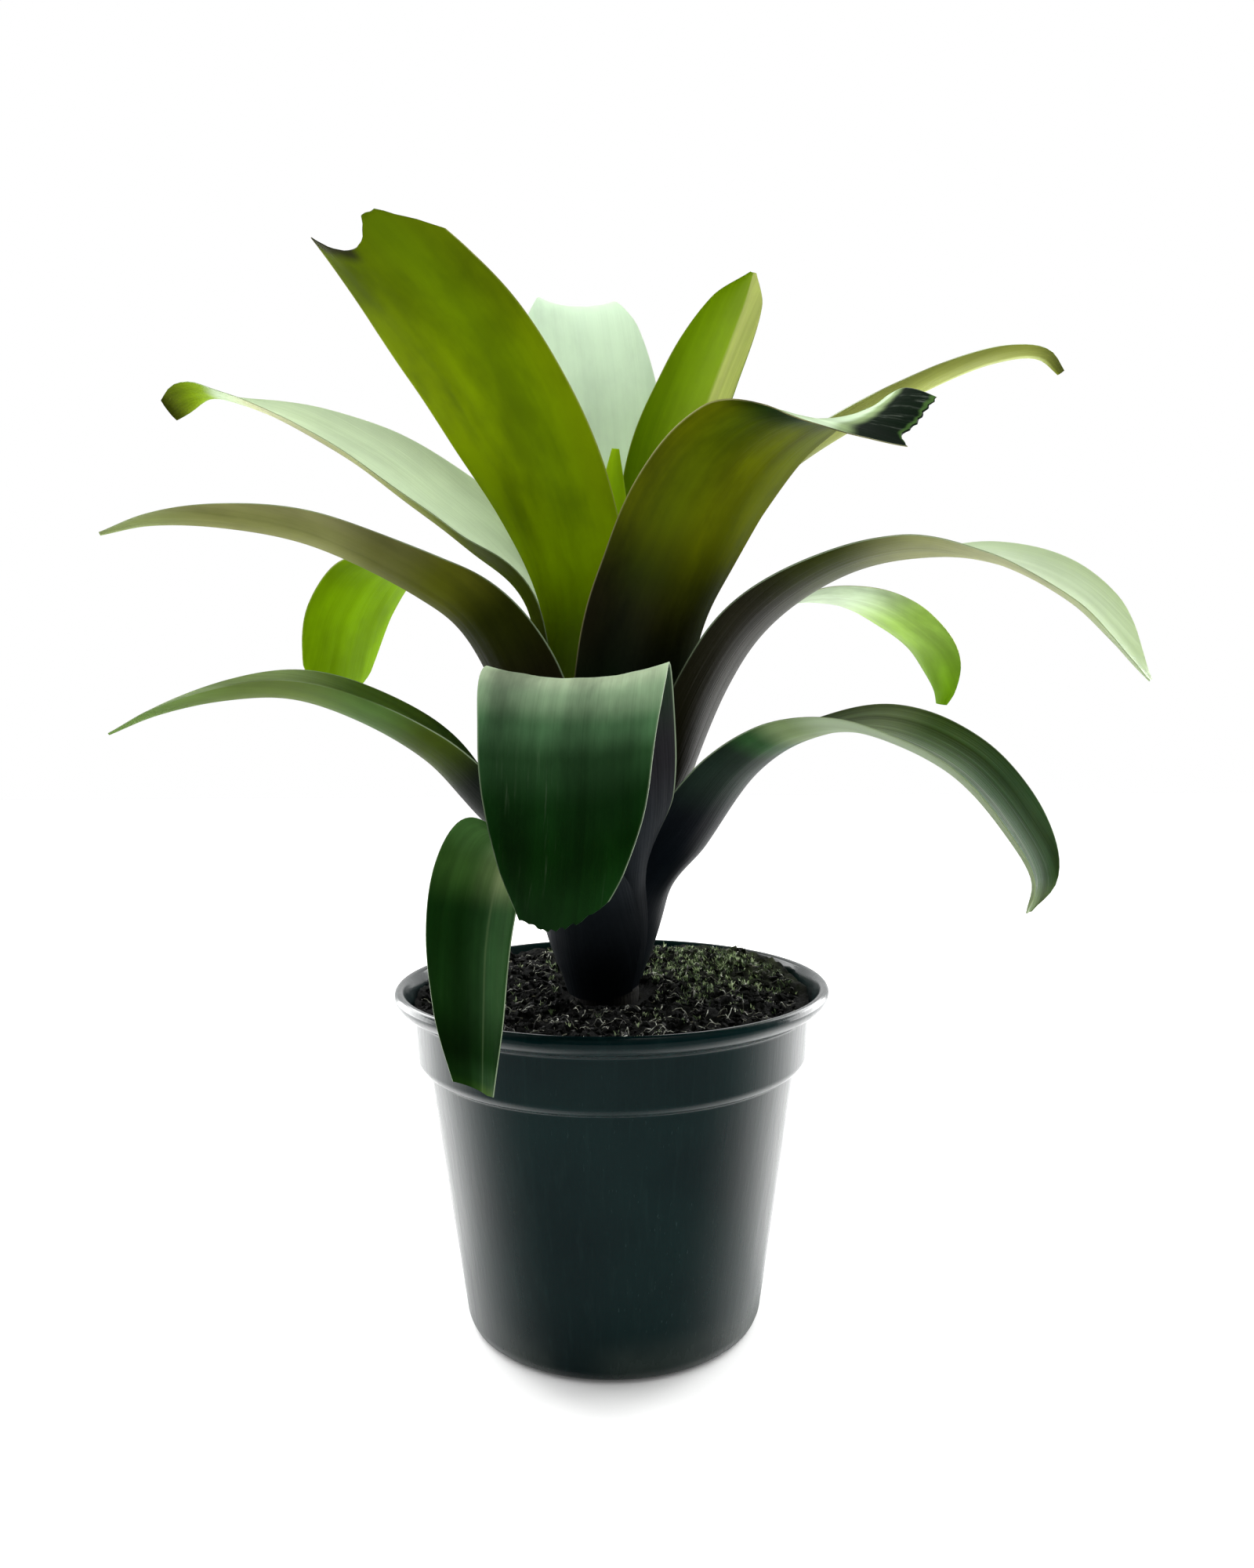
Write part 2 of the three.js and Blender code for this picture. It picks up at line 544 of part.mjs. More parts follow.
function soilMesh() {
  const wall = POT_WALL + SOIL_GAP;
  const floor = BASE_RECESS + BASE_FLOOR + SOIL_GAP;
  const side = [
    [BASE_RADIUS - wall - SOIL_CORNER, floor],
    [BASE_RADIUS - wall - SOIL_SIDE_IN, floor + SOIL_CORNER],
    [BODY_TOP_RADIUS - wall - SOIL_SIDE_IN, BODY_TOP_HEIGHT],
    [COLLAR_LOW_RADIUS - wall - SOIL_STEP_IN, COLLAR_LOW_HEIGHT + SOIL_STEP_UP],
    [COLLAR_TOP_RADIUS - wall - SOIL_SIDE_IN, SOIL_LEVEL - SOIL_EDGE_DEPTH],
    [COLLAR_TOP_RADIUS - wall + SOIL_EDGE_OUT, SOIL_LEVEL],
  ];
  const rings = [...SOIL_RINGS].reverse().map((r) => [r, SOIL_LEVEL]);
  const socket = [[SOIL_SOCKET_RADIUS, SOIL_LEVEL], [SOIL_SOCKET_RADIUS, SOIL_SOCKET_FLOOR]];
  const profile = [[0, floor], ...side, ...rings, ...socket, [0, SOIL_SOCKET_FLOOR]];
  const geometry = lathe(profile, SOIL_SEGMENTS);
  const position = geometry.getAttribute('position');
  for (let i = 0; i < position.count; i += 1) {
    const onTop = position.getZ(i) > SOIL_LEVEL - SOIL_TOP_DEPTH;
    const radius = Math.hypot(position.getX(i), position.getY(i));
    if (radius < SOIL_RINGS[1] + RING_MARGIN) position.setX(i, position.getX(i) + AXIS_X);
    if (onTop) position.setZ(i, soilHeight(position.getX(i), position.getY(i)));
  }
  const mesh = new THREE.Mesh(fromManifold(toManifold(geometry)), material(0x1f1d16, 0.95));
  mesh.name = 'soil';
  return mesh;
}

function stemMesh() {
  const profile = [
    [0, SOIL_SOCKET_FLOOR + SOIL_GAP],
    [STEM_SOCKET_RADIUS - STEM_CORNER, SOIL_SOCKET_FLOOR + SOIL_GAP],
    [STEM_SOCKET_RADIUS, SOIL_SOCKET_FLOOR + STEM_CORNER],
    [STEM_SOCKET_RADIUS, SOIL_LEVEL - SOIL_TOP_DEPTH],
  ];
  for (let z = SOIL_LEVEL + SOIL_TOP_DEPTH; z < STEM_TOP; z += STEM_RING_STEP) {
    profile.push([stemRadius(z), z]);
  }
  profile.push([stemRadius(STEM_TOP) / 2, STEM_TOP], [0, STEM_TOP + STEM_TIP_RISE]);
  const geometry = lathe(profile, STEM_SEGMENTS).translate(AXIS_X, 0, 0);
  const mesh = new THREE.Mesh(fromManifold(toManifold(geometry)), material(0x4a4630, 0.8));
  mesh.name = 'stem';
  return mesh;
}

const model = new THREE.Group();
model.name = 'potted_imperial_bromeliad';
model.add(potMesh(), soilMesh(), stemMesh());
LEAVES.forEach((leaf) => model.add(leafMesh(leaf)));

export default model;
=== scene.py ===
"""Looks of a potted imperial bromeliad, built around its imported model.

Sizes are in millimetres and are turned into metres where a mesh is made. +Z is up, the origin is the
centre of the pot's underside and -Y faces the viewer.
"""

import logging
import math
from dataclasses import dataclass, field
from enum import Enum
from typing import Any, Optional, Sequence, Union

import bpy
import numpy as np
from mathutils import Euler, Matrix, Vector, noise

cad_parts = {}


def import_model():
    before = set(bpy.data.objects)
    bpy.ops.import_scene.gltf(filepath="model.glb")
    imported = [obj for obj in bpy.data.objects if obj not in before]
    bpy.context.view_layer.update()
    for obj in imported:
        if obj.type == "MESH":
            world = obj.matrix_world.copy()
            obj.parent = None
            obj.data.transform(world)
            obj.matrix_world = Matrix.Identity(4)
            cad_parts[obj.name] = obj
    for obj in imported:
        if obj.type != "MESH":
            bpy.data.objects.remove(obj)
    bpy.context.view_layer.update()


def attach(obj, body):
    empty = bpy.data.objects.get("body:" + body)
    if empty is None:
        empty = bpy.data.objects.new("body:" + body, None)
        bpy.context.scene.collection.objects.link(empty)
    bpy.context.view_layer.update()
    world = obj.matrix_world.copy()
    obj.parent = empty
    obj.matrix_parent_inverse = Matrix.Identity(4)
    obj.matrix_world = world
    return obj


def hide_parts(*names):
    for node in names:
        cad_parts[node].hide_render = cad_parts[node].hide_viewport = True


log = logging.getLogger("bromeliad")

MM = 0.001
Colour = tuple[float, float, float]
Knots = tuple[tuple[float, float], ...]
Stops = tuple[tuple[float, Colour], ...]


def tone(red: float, green: float, blue: float) -> Colour:
    """Turns a colour as a screen shows it, 0 to 255, into the light it stands for.

    Args:
        red: Red as shown.
        green: Green as shown.
        blue: Blue as shown.

    Returns:
        The colour in linear light.
    """

    def linear(value: float) -> float:
        """One channel in linear light."""
        share = value / 255
        return share / 12.92 if share <= 0.04045 else ((share + 0.055) / 1.055) ** 2.4

    return linear(red), linear(green), linear(blue)


def smooth(value: Any) -> Any:
    """Eases 0 to 1, flat at both ends, on a number or an array."""
    share = np.clip(value, 0.0, 1.0)
    return share * share * (3 - 2 * share)


def through_knots(knots: Knots, value: Any) -> np.ndarray:
    """Reads a cubic curve through rising knots, which never overshoots them.

    Args:
        knots: Pairs of place and height.
        value: Where the curve is read.

    Returns:
        The heights there.
    """
    xs = np.array([knot[0] for knot in knots], float)
    ys = np.array([knot[1] for knot in knots], float)
    widths = np.diff(xs)
    steps = np.diff(ys) / widths
    slopes = np.zeros(len(xs))
    slopes[0] = steps[0]
    slopes[-1] = steps[-1]
    for i in range(1, len(xs) - 1):
        if steps[i - 1] * steps[i] > 0:
            first = 2 * widths[i] + widths[i - 1]
            second = widths[i] + 2 * widths[i - 1]
            slopes[i] = (first + second) / (first / steps[i - 1] + second / steps[i])
    places = np.asarray(value, float)
    k = np.clip(np.searchsorted(xs, places) - 1, 0, len(xs) - 2)
    t = np.clip((places - xs[k]) / widths[k], 0, 1)
    low = (2 * t - 3) * t * t + 1
    rise = ((t - 2) * t + 1) * t * widths[k] * slopes[k]
    fall = (t - 1) * t * t * widths[k] * slopes[k + 1]
    return low * ys[k] + rise + (1 - low) * ys[k + 1] + fall


class Signal:
    """A node's output whose arithmetic adds Math nodes to its tree."""

    def __init__(self, paint: "Paint", socket: bpy.types.NodeSocket) -> None:
        """Keeps the tree and the socket."""
        self.paint = paint
        self.socket = socket

    def _math(self, operation: str, first: "Number", second: "Number") -> "Signal":
        """Adds one Math node."""
        return self.paint.node("ShaderNodeMath", {"operation": operation}, {0: first, 1: second})

    def __add__(self, other: "Number") -> "Signal":
        """Sum."""
        return self._math("ADD", self, other)

    def __radd__(self, other: "Number") -> "Signal":
        """Sum with a number in front."""
        return self._math("ADD", other, self)

    def __sub__(self, other: "Number") -> "Signal":
        """Difference."""
        return self._math("SUBTRACT", self, other)

    def __rsub__(self, other: "Number") -> "Signal":
        """Difference from a number."""
        return self._math("SUBTRACT", other, self)

    def __mul__(self, other: "Number") -> "Signal":
        """Product."""
        return self._math("MULTIPLY", self, other)

    def __rmul__(self, other: "Number") -> "Signal":
        """Product with a number in front."""
        return self._math("MULTIPLY", other, self)

    def __abs__(self) -> "Signal":
        """Size without its sign."""
        return self._math("ABSOLUTE", self, 0.0)

    def between(self, low: float, high: float) -> "Signal":
        """A soft step from 0 at low to 1 at high.

        Args:
            low: Where the step begins; it may be above high, for a falling step.
            high: Where the step is done.

        Returns:
            The step.
        """
        settings = {"interpolation_type": "SMOOTHSTEP"}
        rising = float(low < high)
        ends = {1: min(low, high), 2: max(low, high), 3: 1.0 - rising, 4: rising}
        return self.paint.node("ShaderNodeMapRange", settings, {0: self, **ends})


Number = Union[int, float, Signal]


class Paint:
    """A node tree with one method that adds its nodes, and short ways to the usual ones."""

    def __init__(self, tree: bpy.types.NodeTree) -> None:
        """Starts the tree empty."""
        self.tree = tree
        self.tree.nodes.clear()

    def node(
        self,
        kind: str,
        settings: Optional[dict[str, Any]] = None,
        sockets: Optional[dict[Union[int, str], Any]] = None,
        out: Union[int, str] = 0,
    ) -> Signal:
        """Adds a node.

        Args:
            kind: The node's type.
            settings: Its settings, set first; "stops" sets a ramp's stops.
            sockets: Values or links of its inputs, by name or number.
            out: Which output is handed back.

        Returns:
            That output.
        """
        made = self.tree.nodes.new(kind)
        for name, value in (settings or {}).items():
            if name == "stops":
                self._set_stops(made.color_ramp, value)
            else:
                setattr(made, name, value)
        for name, value in (sockets or {}).items():
            if isinstance(value, Signal):
                self.tree.links.new(value.socket, made.inputs[name])
            elif isinstance(value, tuple) and len(value) == 3 and made.inputs[name].type == "RGBA":
                made.inputs[name].default_value = (*value, 1.0)
            else:
                made.inputs[name].default_value = value
        return Signal(self, made.outputs[out])

    @staticmethod
    def _set_stops(ramp: bpy.types.ColorRamp, stops: Stops) -> None:
        """Sets a ramp's stops."""
        ramp.interpolation = "EASE"
        while len(ramp.elements) < len(stops):
            ramp.elements.new(1.0)
        for element, (place, colour) in zip(ramp.elements, stops):
            element.position = place
            element.color = (*colour, 1.0)

    def ramp(self, signal: Signal, stops: Stops) -> Signal:
        """Colours along a signal from 0 to 1."""
        return self.node("ShaderNodeValToRGB", {"stops": stops}, {0: signal})

    def mix(self, share: Number, first: Any, second: Any, blend: str = "MIX") -> Signal:
        """Mixes two colours by a share, or blends them by name."""
        settings = {"data_type": "RGBA", "blend_type": blend, "clamp_factor": True}
        return self.node("ShaderNodeMix", settings, {0: share, 6: first, 7: second}, out=2)

    def noise(self, place: Signal, scale: float, detail: float = 2.0, rough: float = 0.5) -> Signal:
        """Soft noise from about 0.2 to 0.8."""
        sockets = {"Vector": place, "Scale": scale, "Detail": detail, "Roughness": rough}
        return self.node("ShaderNodeTexNoise", None, sockets)

    def stretch(self, place: Signal, factors: Colour, shift: float = 0.0) -> Signal:
        """Scales a place by an amount on each axis, then shifts it."""
        sockets = {"Vector": place, "Scale": factors, "Location": (shift, shift, shift)}
        return self.node("ShaderNodeMapping", None, sockets)

    def split(self, place: Signal) -> tuple[Signal, Signal, Signal]:
        """The three parts of a place."""
        whole = self.node("ShaderNodeSeparateXYZ", None, {0: place})
        outputs = whole.socket.node.outputs
        return whole, Signal(self, outputs[1]), Signal(self, outputs[2])

    def uv(self, name: str) -> Signal:
        """A named UV map."""
        return self.node("ShaderNodeUVMap", {"uv_map": name})

    def place(self) -> Signal:
        """The point's place on the piece, in metres."""
        return self.node("ShaderNodeTexCoord", out="Object")

    def bump(self, height: Signal, distance: float) -> Signal:
        """A normal from a height."""
        return self.node("ShaderNodeBump", None, {"Height": height, "Distance": distance, "Strength": 1.0})

    def surface(self, sockets: dict[Union[int, str], Any]) -> Signal:
        """A Principled shader."""
        return self.node("ShaderNodeBsdfPrincipled", None, sockets)

    def close(self, shader: Signal, kind: str = "ShaderNodeOutputMaterial") -> None:
        """Adds an output node and links a shader to it."""
        made = self.tree.nodes.new(kind)
        self.tree.links.new(shader.socket, made.inputs["Surface"])


def new_paint(name: str) -> tuple[bpy.types.Material, Paint]:
    """Makes a material and the paint that fills it.

    Args:
        name: The material's name.

    Returns:
        The material and its empty paint.
    """
    material = bpy.data.materials.new(name)
    material.use_nodes = True
    return material, Paint(material.node_tree)


@dataclass
class Shape:
    """Points in millimetres, faces, the material number of each face, and named maps of each point."""

    points: list[Sequence[float]] = field(default_factory=list)
    faces: list[Sequence[int]] = field(default_factory=list)
    finishes: list[int] = field(default_factory=list)
    maps: dict[str, np.ndarray] = field(default_factory=dict)

    def add(self, points: np.ndarray, faces: Sequence[Sequence[int]], finish: int = 0) -> None:
        """Adds points and faces counted from the first of them.

        Args:
            points: The points, in millimetres.
            faces: The faces, by the number of each point in that list.
            finish: The material number of the faces.
        """
        start = len(self.points)
        self.points.extend(map(tuple, points))
        self.faces.extend(tuple(start + i for i in face) for face in faces)
        self.finishes.extend([finish] * len(faces))

    def build(
        self, name: str, materials: Sequence[bpy.types.Material], sharp: float = 40.0
    ) -> bpy.types.Object:
        """Makes the piece.

        Args:
            name: The piece's name.
            materials: Its materials, by number.
            sharp: Edges that turn more than this many degrees are drawn sharp.

        Returns:
            The new object, linked to the scene.
        """
        mesh = bpy.data.meshes.new(name)
        mesh.from_pydata([tuple(c * MM for c in p) for p in self.points], [], self.faces)
        mesh.polygons.foreach_set("material_index", self.finishes)
        mesh.polygons.foreach_set("use_smooth", [True] * len(mesh.polygons))
        corners = np.zeros(len(mesh.loops), int)
        mesh.loops.foreach_get("vertex_index", corners)
        for map_name, values in self.maps.items():
            layer = mesh.uv_layers.new(name=map_name)
            layer.data.foreach_set("uv", values[corners].ravel())
        mesh.update()
        mesh.set_sharp_from_angle(angle=math.radians(sharp))
        piece = bpy.data.objects.new(name, mesh)
        bpy.context.scene.collection.objects.link(piece)
        for material in materials:
            mesh.materials.append(material)
        return piece


def lathe(profile: Sequence[Sequence[float]], segments: int, centre_x: float = 0.0) -> Shape:
    """Turns a profile that starts and ends on the axis.

    Args:
        profile: Radius and height of each point, counter-clockwise with the axis on the left.
        segments: Steps round the axis.
        centre_x: Where the axis stands.

    Returns:
        The closed shape.
    """
    inner = profile[1:-1]
    angles = np.arange(segments) * 2 * math.pi / segments
    points = [(centre_x, 0.0, profile[0][1]), (centre_x, 0.0, profile[-1][1])]
    for radius, height in inner:
        ring = [centre_x + radius * np.cos(angles), radius * np.sin(angles), np.full(segments, height)]
        points.extend(map(tuple, np.stack(ring, -1)))
    faces = []
    for j in range(segments):
        k = (j + 1) % segments
        faces.append((0, 2 + k, 2 + j))
        for i in range(len(inner) - 1):
            low = 2 + i * segments
            faces.append((low + j, low + k, low + segments + k, low + segments + j))
        top = 2 + (len(inner) - 1) * segments
        faces.append((1, top + j, top + k))
    shape = Shape()
    shape.add(np.array(points), faces)
    return shape


def prism_faces(sides: int) -> list[tuple[int, ...]]:
    """Faces of a prism whose lower ring of points comes first and whose upper ring follows it."""
    faces = [tuple(range(sides - 1, -1, -1)), tuple(range(sides, 2 * sides))]
    for i in range(sides):
        k = (i + 1) % sides
        faces.append((i, k, sides + k, sides + i))
    return faces


def rounded(profile: Sequence[Sequence[float]], radius: float, steps: int = 4) -> list[tuple[float, float]]:
    """Rounds the corners of a profile, apart from its two ends.

    Args:
        profile: The corners.
        radius: How far from a corner its curve begins, less on short sides.
        steps: Points along each curve.

    Returns:
        The rounded profile.
    """
    corners = [np.array(p, float) for p in profile]
    result = [tuple(corners[0])]
    for before, here, after in zip(corners, corners[1:], corners[2:]):
        back = before - here
        ahead = after - here
        reach_back = min(radius, 0.45 * np.linalg.norm(back))
        reach_ahead = min(radius, 0.45 * np.linalg.norm(ahead))
        first = here + back / np.linalg.norm(back) * reach_back
        last = here + ahead / np.linalg.norm(ahead) * reach_ahead
        for share in np.linspace(0, 1, steps):
            curve = (1 - share) ** 2 * first + 2 * share * (1 - share) * here + share**2 * last
            result.append(tuple(curve))
    result.append(tuple(corners[-1]))
    return result


@dataclass(frozen=True)
class Funnel:
    """The plant's axis and the nested funnel layers that hold the leaf sheaths."""

    axis_x: float = -3.0
    knots: Knots = (
        (150, 18), (178, 21), (190, 24.5), (199, 28), (217, 34), (232, 38),
        (253, 42), (280, 46), (320, 50), (361, 54), (420, 60), (520, 70),
    )
    pitch: float = 2.5
    half_angle: float = 67.0
    lowest_start: float = 180.0
    start_step: float = 0.25
    hold_top: float = 400.0
    hold_fade: float = 90.0
    base_thickness: float = 1.5
    facet_angle: float = 67.0 / 6
    stem_clearance: float = 0.3

    def radius(self, layer: float, height: Any) -> np.ndarray:
        """Radius of a layer at a height."""
        return through_knots(self.knots, height) - layer * self.pitch

    def start(self, layer: int, stem: "Stem") -> float:
        """Lowest height at which a layer clears the stem.

        Args:
            layer: The layer, 0 outermost.
            stem: The stem inside the funnel.

        Returns:
            The height.
        """
        facet = math.cos(math.radians(self.facet_angle))
        height = self.lowest_start
        while True:
            inside = (float(self.radius(layer, height)) - self.base_thickness / 2) * facet
            if inside - self.stem_clearance >= float(stem.radius(height)):
                return height
            height += self.start_step

    def hold(self, layer: int, points: np.ndarray, share: np.ndarray) -> np.ndarray:
        """Draws points onto their layer by a share and keeps them outside it low down.

        Args:
            layer: The layer.
            points: The points.
            share: How much each is drawn in.

        Returns:
            The moved points.
        """
        x = points[..., 0] - self.axis_x
        y = points[..., 1]
        z = points[..., 2]
        far = np.maximum(1e-6, np.hypot(x, y))
        wanted_layer = self.radius(layer, z)
        wanted = far + (wanted_layer - far) * share
        fade = 1 - smooth((z - (self.hold_top - self.hold_fade)) / self.hold_fade)
        wanted = wanted + np.maximum(0, wanted_layer - wanted) * fade
        scale = wanted / far
        return np.stack([self.axis_x + x * scale, y * scale, z], -1)


class Midrib:
    """A smooth curve through points, read by its share of length."""

    def __init__(self, points: np.ndarray, divisions: int = 400) -> None:
        """Prepares the curve.

        Args:
            points: The points it passes through.
            divisions: Chords used to measure its length.
        """
        self.points = np.concatenate([[2 * points[0] - points[1]], points, [2 * points[-1] - points[-2]]])
        self.spans = len(points) - 1
        self.places = np.linspace(0, 1, divisions + 1)
        chords = np.linalg.norm(np.diff(self._at(self.places), axis=0), axis=1)
        self.lengths = np.concatenate([[0], np.cumsum(chords)])
        self.length = float(self.lengths[-1])

    def _at(self, share: np.ndarray) -> np.ndarray:
        """Points by share of the spans."""
        place = share * self.spans
        k = np.minimum(np.floor(place).astype(int), self.spans - 1)
        t = (place - k)[..., None]
        p0, p1, p2, p3 = (self.points[k + i] for i in range(4))
        sides = ((p0, p1), (p1, p2), (p2, p3))
        d0, d1, d2 = (np.sqrt(np.linalg.norm(b - a, axis=-1, keepdims=True)) for a, b in sides)
        slope1 = ((p1 - p0) / d0 - (p2 - p0) / (d0 + d1) + (p2 - p1) / d1) * d1
        slope2 = ((p2 - p1) / d1 - (p3 - p1) / (d1 + d2) + (p3 - p2) / d2) * d1
        low = 2 * t**3 - 3 * t**2 + 1
        return low * p1 + (t**3 - 2 * t**2 + t) * slope1 + (1 - low) * p2 + (t**3 - t**2) * slope2

    def at(self, share: np.ndarray) -> np.ndarray:
        """Points by share of length."""
        return self._at(np.interp(np.clip(share, 0, 1) * self.length, self.lengths, self.places))


class Face(Enum):
    """The two faces of a leaf blade."""

    LOWER = 0
    UPPER = 1


INK = tone(8, 12, 16)
SLATE = tone(22, 34, 27)
STEEL = tone(26, 30, 34)
UMBER = tone(26, 25, 12)
PURPLE = tone(22, 21, 25)
NEAR_BLACK = tone(8, 20, 9)
DEEP = tone(5, 38, 3)
BOTTLE = tone(13, 46, 12)
SPRUCE = tone(38, 70, 38)
FERN = tone(62, 92, 42)
DARK_OLIVE = tone(38, 44, 4)
OLIVE = tone(66, 76, 3)
MOSSY = tone(92, 98, 28)
OLIVE_GREY = tone(116, 118, 78)
KHAKI = tone(176, 182, 130)
WARM_GREY = tone(152, 154, 118)
MOSS_GREEN = tone(98, 112, 2)
LEAF_GREEN = tone(92, 122, 3)
LIME = tone(112, 140, 4)
PEAR = tone(136, 166, 70)
FRESH = tone(168, 190, 60)
SAGE = tone(122, 142, 98)
PALE_SAGE = tone(160, 178, 146)
GREY_GREEN = tone(126, 154, 118)
LEEK = tone(74, 112, 74)
# Pale waxy bloom, whose paleness partly stands for painted sky reflection on upper faces.
BLOOM_AND_SKY_SHEEN = tone(180, 200, 168)
MIST = tone(218, 230, 212)
MINT = tone(196, 222, 196)
STRAW = tone(190, 186, 130)
BROWN = tone(52, 38, 20)
LEAF_LIGHT = (0.38, 0.43, 0.001)
OLIVE_LIGHT = (0.32, 0.33, 0.0)
LIME_LIGHT = (0.4, 0.56, 0.01)
GREEN_LIGHT = (0.3, 0.5, 0.08)
KHAKI_LIGHT = (0.5, 0.52, 0.26)
YOUNG_LIGHT = (0.6, 0.75, 0.02)
PALE_LIGHT = (0.84, 0.9, 0.7)
MINT_LIGHT = (0.92, 0.98, 0.84)


def greys(*knots: tuple[float, float]) -> Stops:
    """Stops of plain grey from pairs of place and brightness."""
    return tuple((place, (share, share, share)) for place, share in knots)


@dataclass(frozen=True)
class Grain:
    """A noise laid over a blade: cells per metre across and along it, a shift of its own and its detail."""

    across: float
    along: float
    shift: float
    detail: float
    rough: float = 0.5


VEINS = Grain(900.0, 9.0, 0.0, 3.0, 0.6)
BANDS = Grain(170.0, 5.0, 3.0, 2.0)
CLOUDS = Grain(40.0, 17.0, 7.0, 4.0, 0.55)
STROKES = Grain(560.0, 26.0, 11.0, 4.0, 0.65)


@dataclass(frozen=True)
class BladeFinish:
    """One face of a blade: its colours with painted light and shade on them, the light it lets through, and
    its gloss, streaks and margin.
    """

    along: Stops
    # Colour multipliers across the blade. Most finishes use them as painted light and shade: one side of the
    # blade lighter, the other darker.
    across: Stops = ()
    margin: Colour = PALE_SAGE
    margin_depth: float = 0.6
    rough: float = 0.36
    ior: float = 1.2
    streaks: float = 0.1
    blotches: float = 0.12
    scuffs: float = 0.0
    # Place across the blade of a painted highlight along a crease, in the margin colour; 0 for none.
    fold_highlight: float = 0.0
    light: Colour = LEAF_LIGHT
    light_along: Stops = greys((0.0, 0.0), (0.3, 0.1), (1.0, 0.35))
    light_across: Stops = ()
    light_patches: float = 0.15
    # A darkened tip, by share of the length, in its own colour: a real dry rim on most finishes, and painted
    # shade of a curled tip's inside where it is limited to one side across.
    dry_and_shaded_tip: float = 0.0
    shaded_tip_across: Stops = ()
    dry_and_shade_colour: Colour = BROWN
    seed: float = 0.0
    vein_share: float = 0.6
    fold_half: float = 0.025
    fold_waver: float = 0.03
    fold_from: tuple[float, float] = (0.5, 0.62)
    fold_depth: float = 0.14
    margin_side: tuple[float, float] = (0.978, 0.996)
    margin_from: tuple[float, float] = (0.25, 0.45)
    dry_and_shade_waver: float = 0.05
    dry_and_shade_depth: float = 0.85
    relief: float = 0.0005

    def material(self, name: str) -> bpy.types.Material:
        """Makes the finish.

        Args:
            name: The material's name.

        Returns:
            The material.
        """
        material, paint = new_paint(name)
        across, along, _ = paint.split(paint.uv("blade"))
        size = paint.uv("metres")
        veins, bands, clouds = (self._grain(paint, size, grain) for grain in (VEINS, BANDS, CLOUDS))
        base = paint.ramp(along, self.along)
        # Painted light and shade across the blade, from the across multipliers.
        if self.across:
            base = paint.mix(1.0, base, paint.ramp(across, self.across), "MULTIPLY")
        base = self._tinted(paint, base, bands, self.streaks)
        base = self._tinted(paint, base, veins, self.streaks * self.vein_share)
        base = self._tinted(paint, base, clouds, self.blotches)
        # A painted highlight along the crease.
        if self.fold_highlight:
            away = abs(across - self.fold_highlight + (clouds - 0.5) * self.fold_waver)
            crease_highlight = (1 - away.between(0.0, self.fold_half)) * along.between(*self.fold_from)
            base = paint.mix(crease_highlight * self.fold_depth, base, self.margin)
        # Pale strokes in the margin colour: scratch marks, which on one finish also stand for painted sheen
        # streaks.
        if self.scuffs:
            strokes = self._grain(paint, size, STROKES).between(0.54, 0.74) * clouds.between(0.48, 0.66)
            base = paint.mix(strokes * self.scuffs, base, self.margin)
        side = abs(across * 2.0 - 1.0)
        edge = side.between(*self.margin_side) * along.between(*self.margin_from) * bands.between(0.2, 0.6)
        base = paint.mix(edge * self.margin_depth, base, self.margin)
        patches = 1 - clouds.between(0.62, 0.36) * self.light_patches - bands.between(0.64, 0.36) * 0.06
        share = paint.ramp(along, self.light_along) * patches
        if self.light_across:
            share = share * paint.ramp(across, self.light_across)
        # The darkened tip: a real dry rim, and painted shade where it is limited to one side across.
        if self.dry_and_shaded_tip:
            dry_and_shade_mask = (along + (clouds - 0.5) * self.dry_and_shade_waver).between(1 - self.dry_and_shaded_tip, 1.0)
            if self.shaded_tip_across:
                dry_and_shade_mask = dry_and_shade_mask * paint.ramp(across, self.shaded_tip_across)
            base = paint.mix(dry_and_shade_mask * self.dry_and_shade_depth, base, self.dry_and_shade_colour)
            share = share * (1 - dry_and_shade_mask)
        rough = self.rough + (bands - 0.5) * 0.16 + (veins - 0.5) * 0.08
        normal = paint.bump(veins * 0.35 + bands * 0.65, self.relief)
        skin = paint.surface({"Base Color": base, "Roughness": rough, "Normal": normal, "IOR": self.ior})
        glow = paint.node("ShaderNodeBsdfTranslucent", None, {"Color": self.light})
        paint.close(paint.node("ShaderNodeMixShader", None, {0: share, 1: skin, 2: glow}))
        return material

    def _grain(self, paint: Paint, size: Signal, grain: Grain) -> Signal:
        """Lays a grain over the blade, shifted by the finish's seed."""
        place = paint.stretch(size, (grain.across, grain.along, 1.0), self.seed + grain.shift)
        return paint.noise(place, 1.0, grain.detail, grain.rough)

    @staticmethod
    def _tinted(paint: Paint, base: Signal, pattern: Signal, depth: float) -> Signal:
        """Makes a colour lighter and darker with a pattern.

        Args:
            paint: The paint of the material.
            base: The colour.
            pattern: The pattern, about 0.3 to 0.7.
            depth: How strong it is.

        Returns:
            The tinted colour.
        """
        dark = (1 - depth,) * 3
        light = (1 + depth,) * 3
        return paint.mix(1.0, base, paint.mix(pattern.between(0.3, 0.7), dark, light), "MULTIPLY")


@dataclass(frozen=True)
class LeafForm:
    """One leaf: its place in the funnel, its midrib, and the blade's section and two finishes along it.

    half, cup and twist are read by the share of the length: half the width in millimetres, and the
    section's half angle and its turn in degrees. torn is the share of the length that is missing, at even
    places across the end.
    """

    name: str
    layer: int
    heading: float
    depart: float
    path: tuple[tuple[float, float, float], ...]
    half: Knots
    cup: Knots
    lower: BladeFinish
    upper: BladeFinish
    twist: Knots = ((0, 0), (1, 0))
    torn: tuple[float, ...] = (0.0, 0.0)
    ragged: float = 0.0


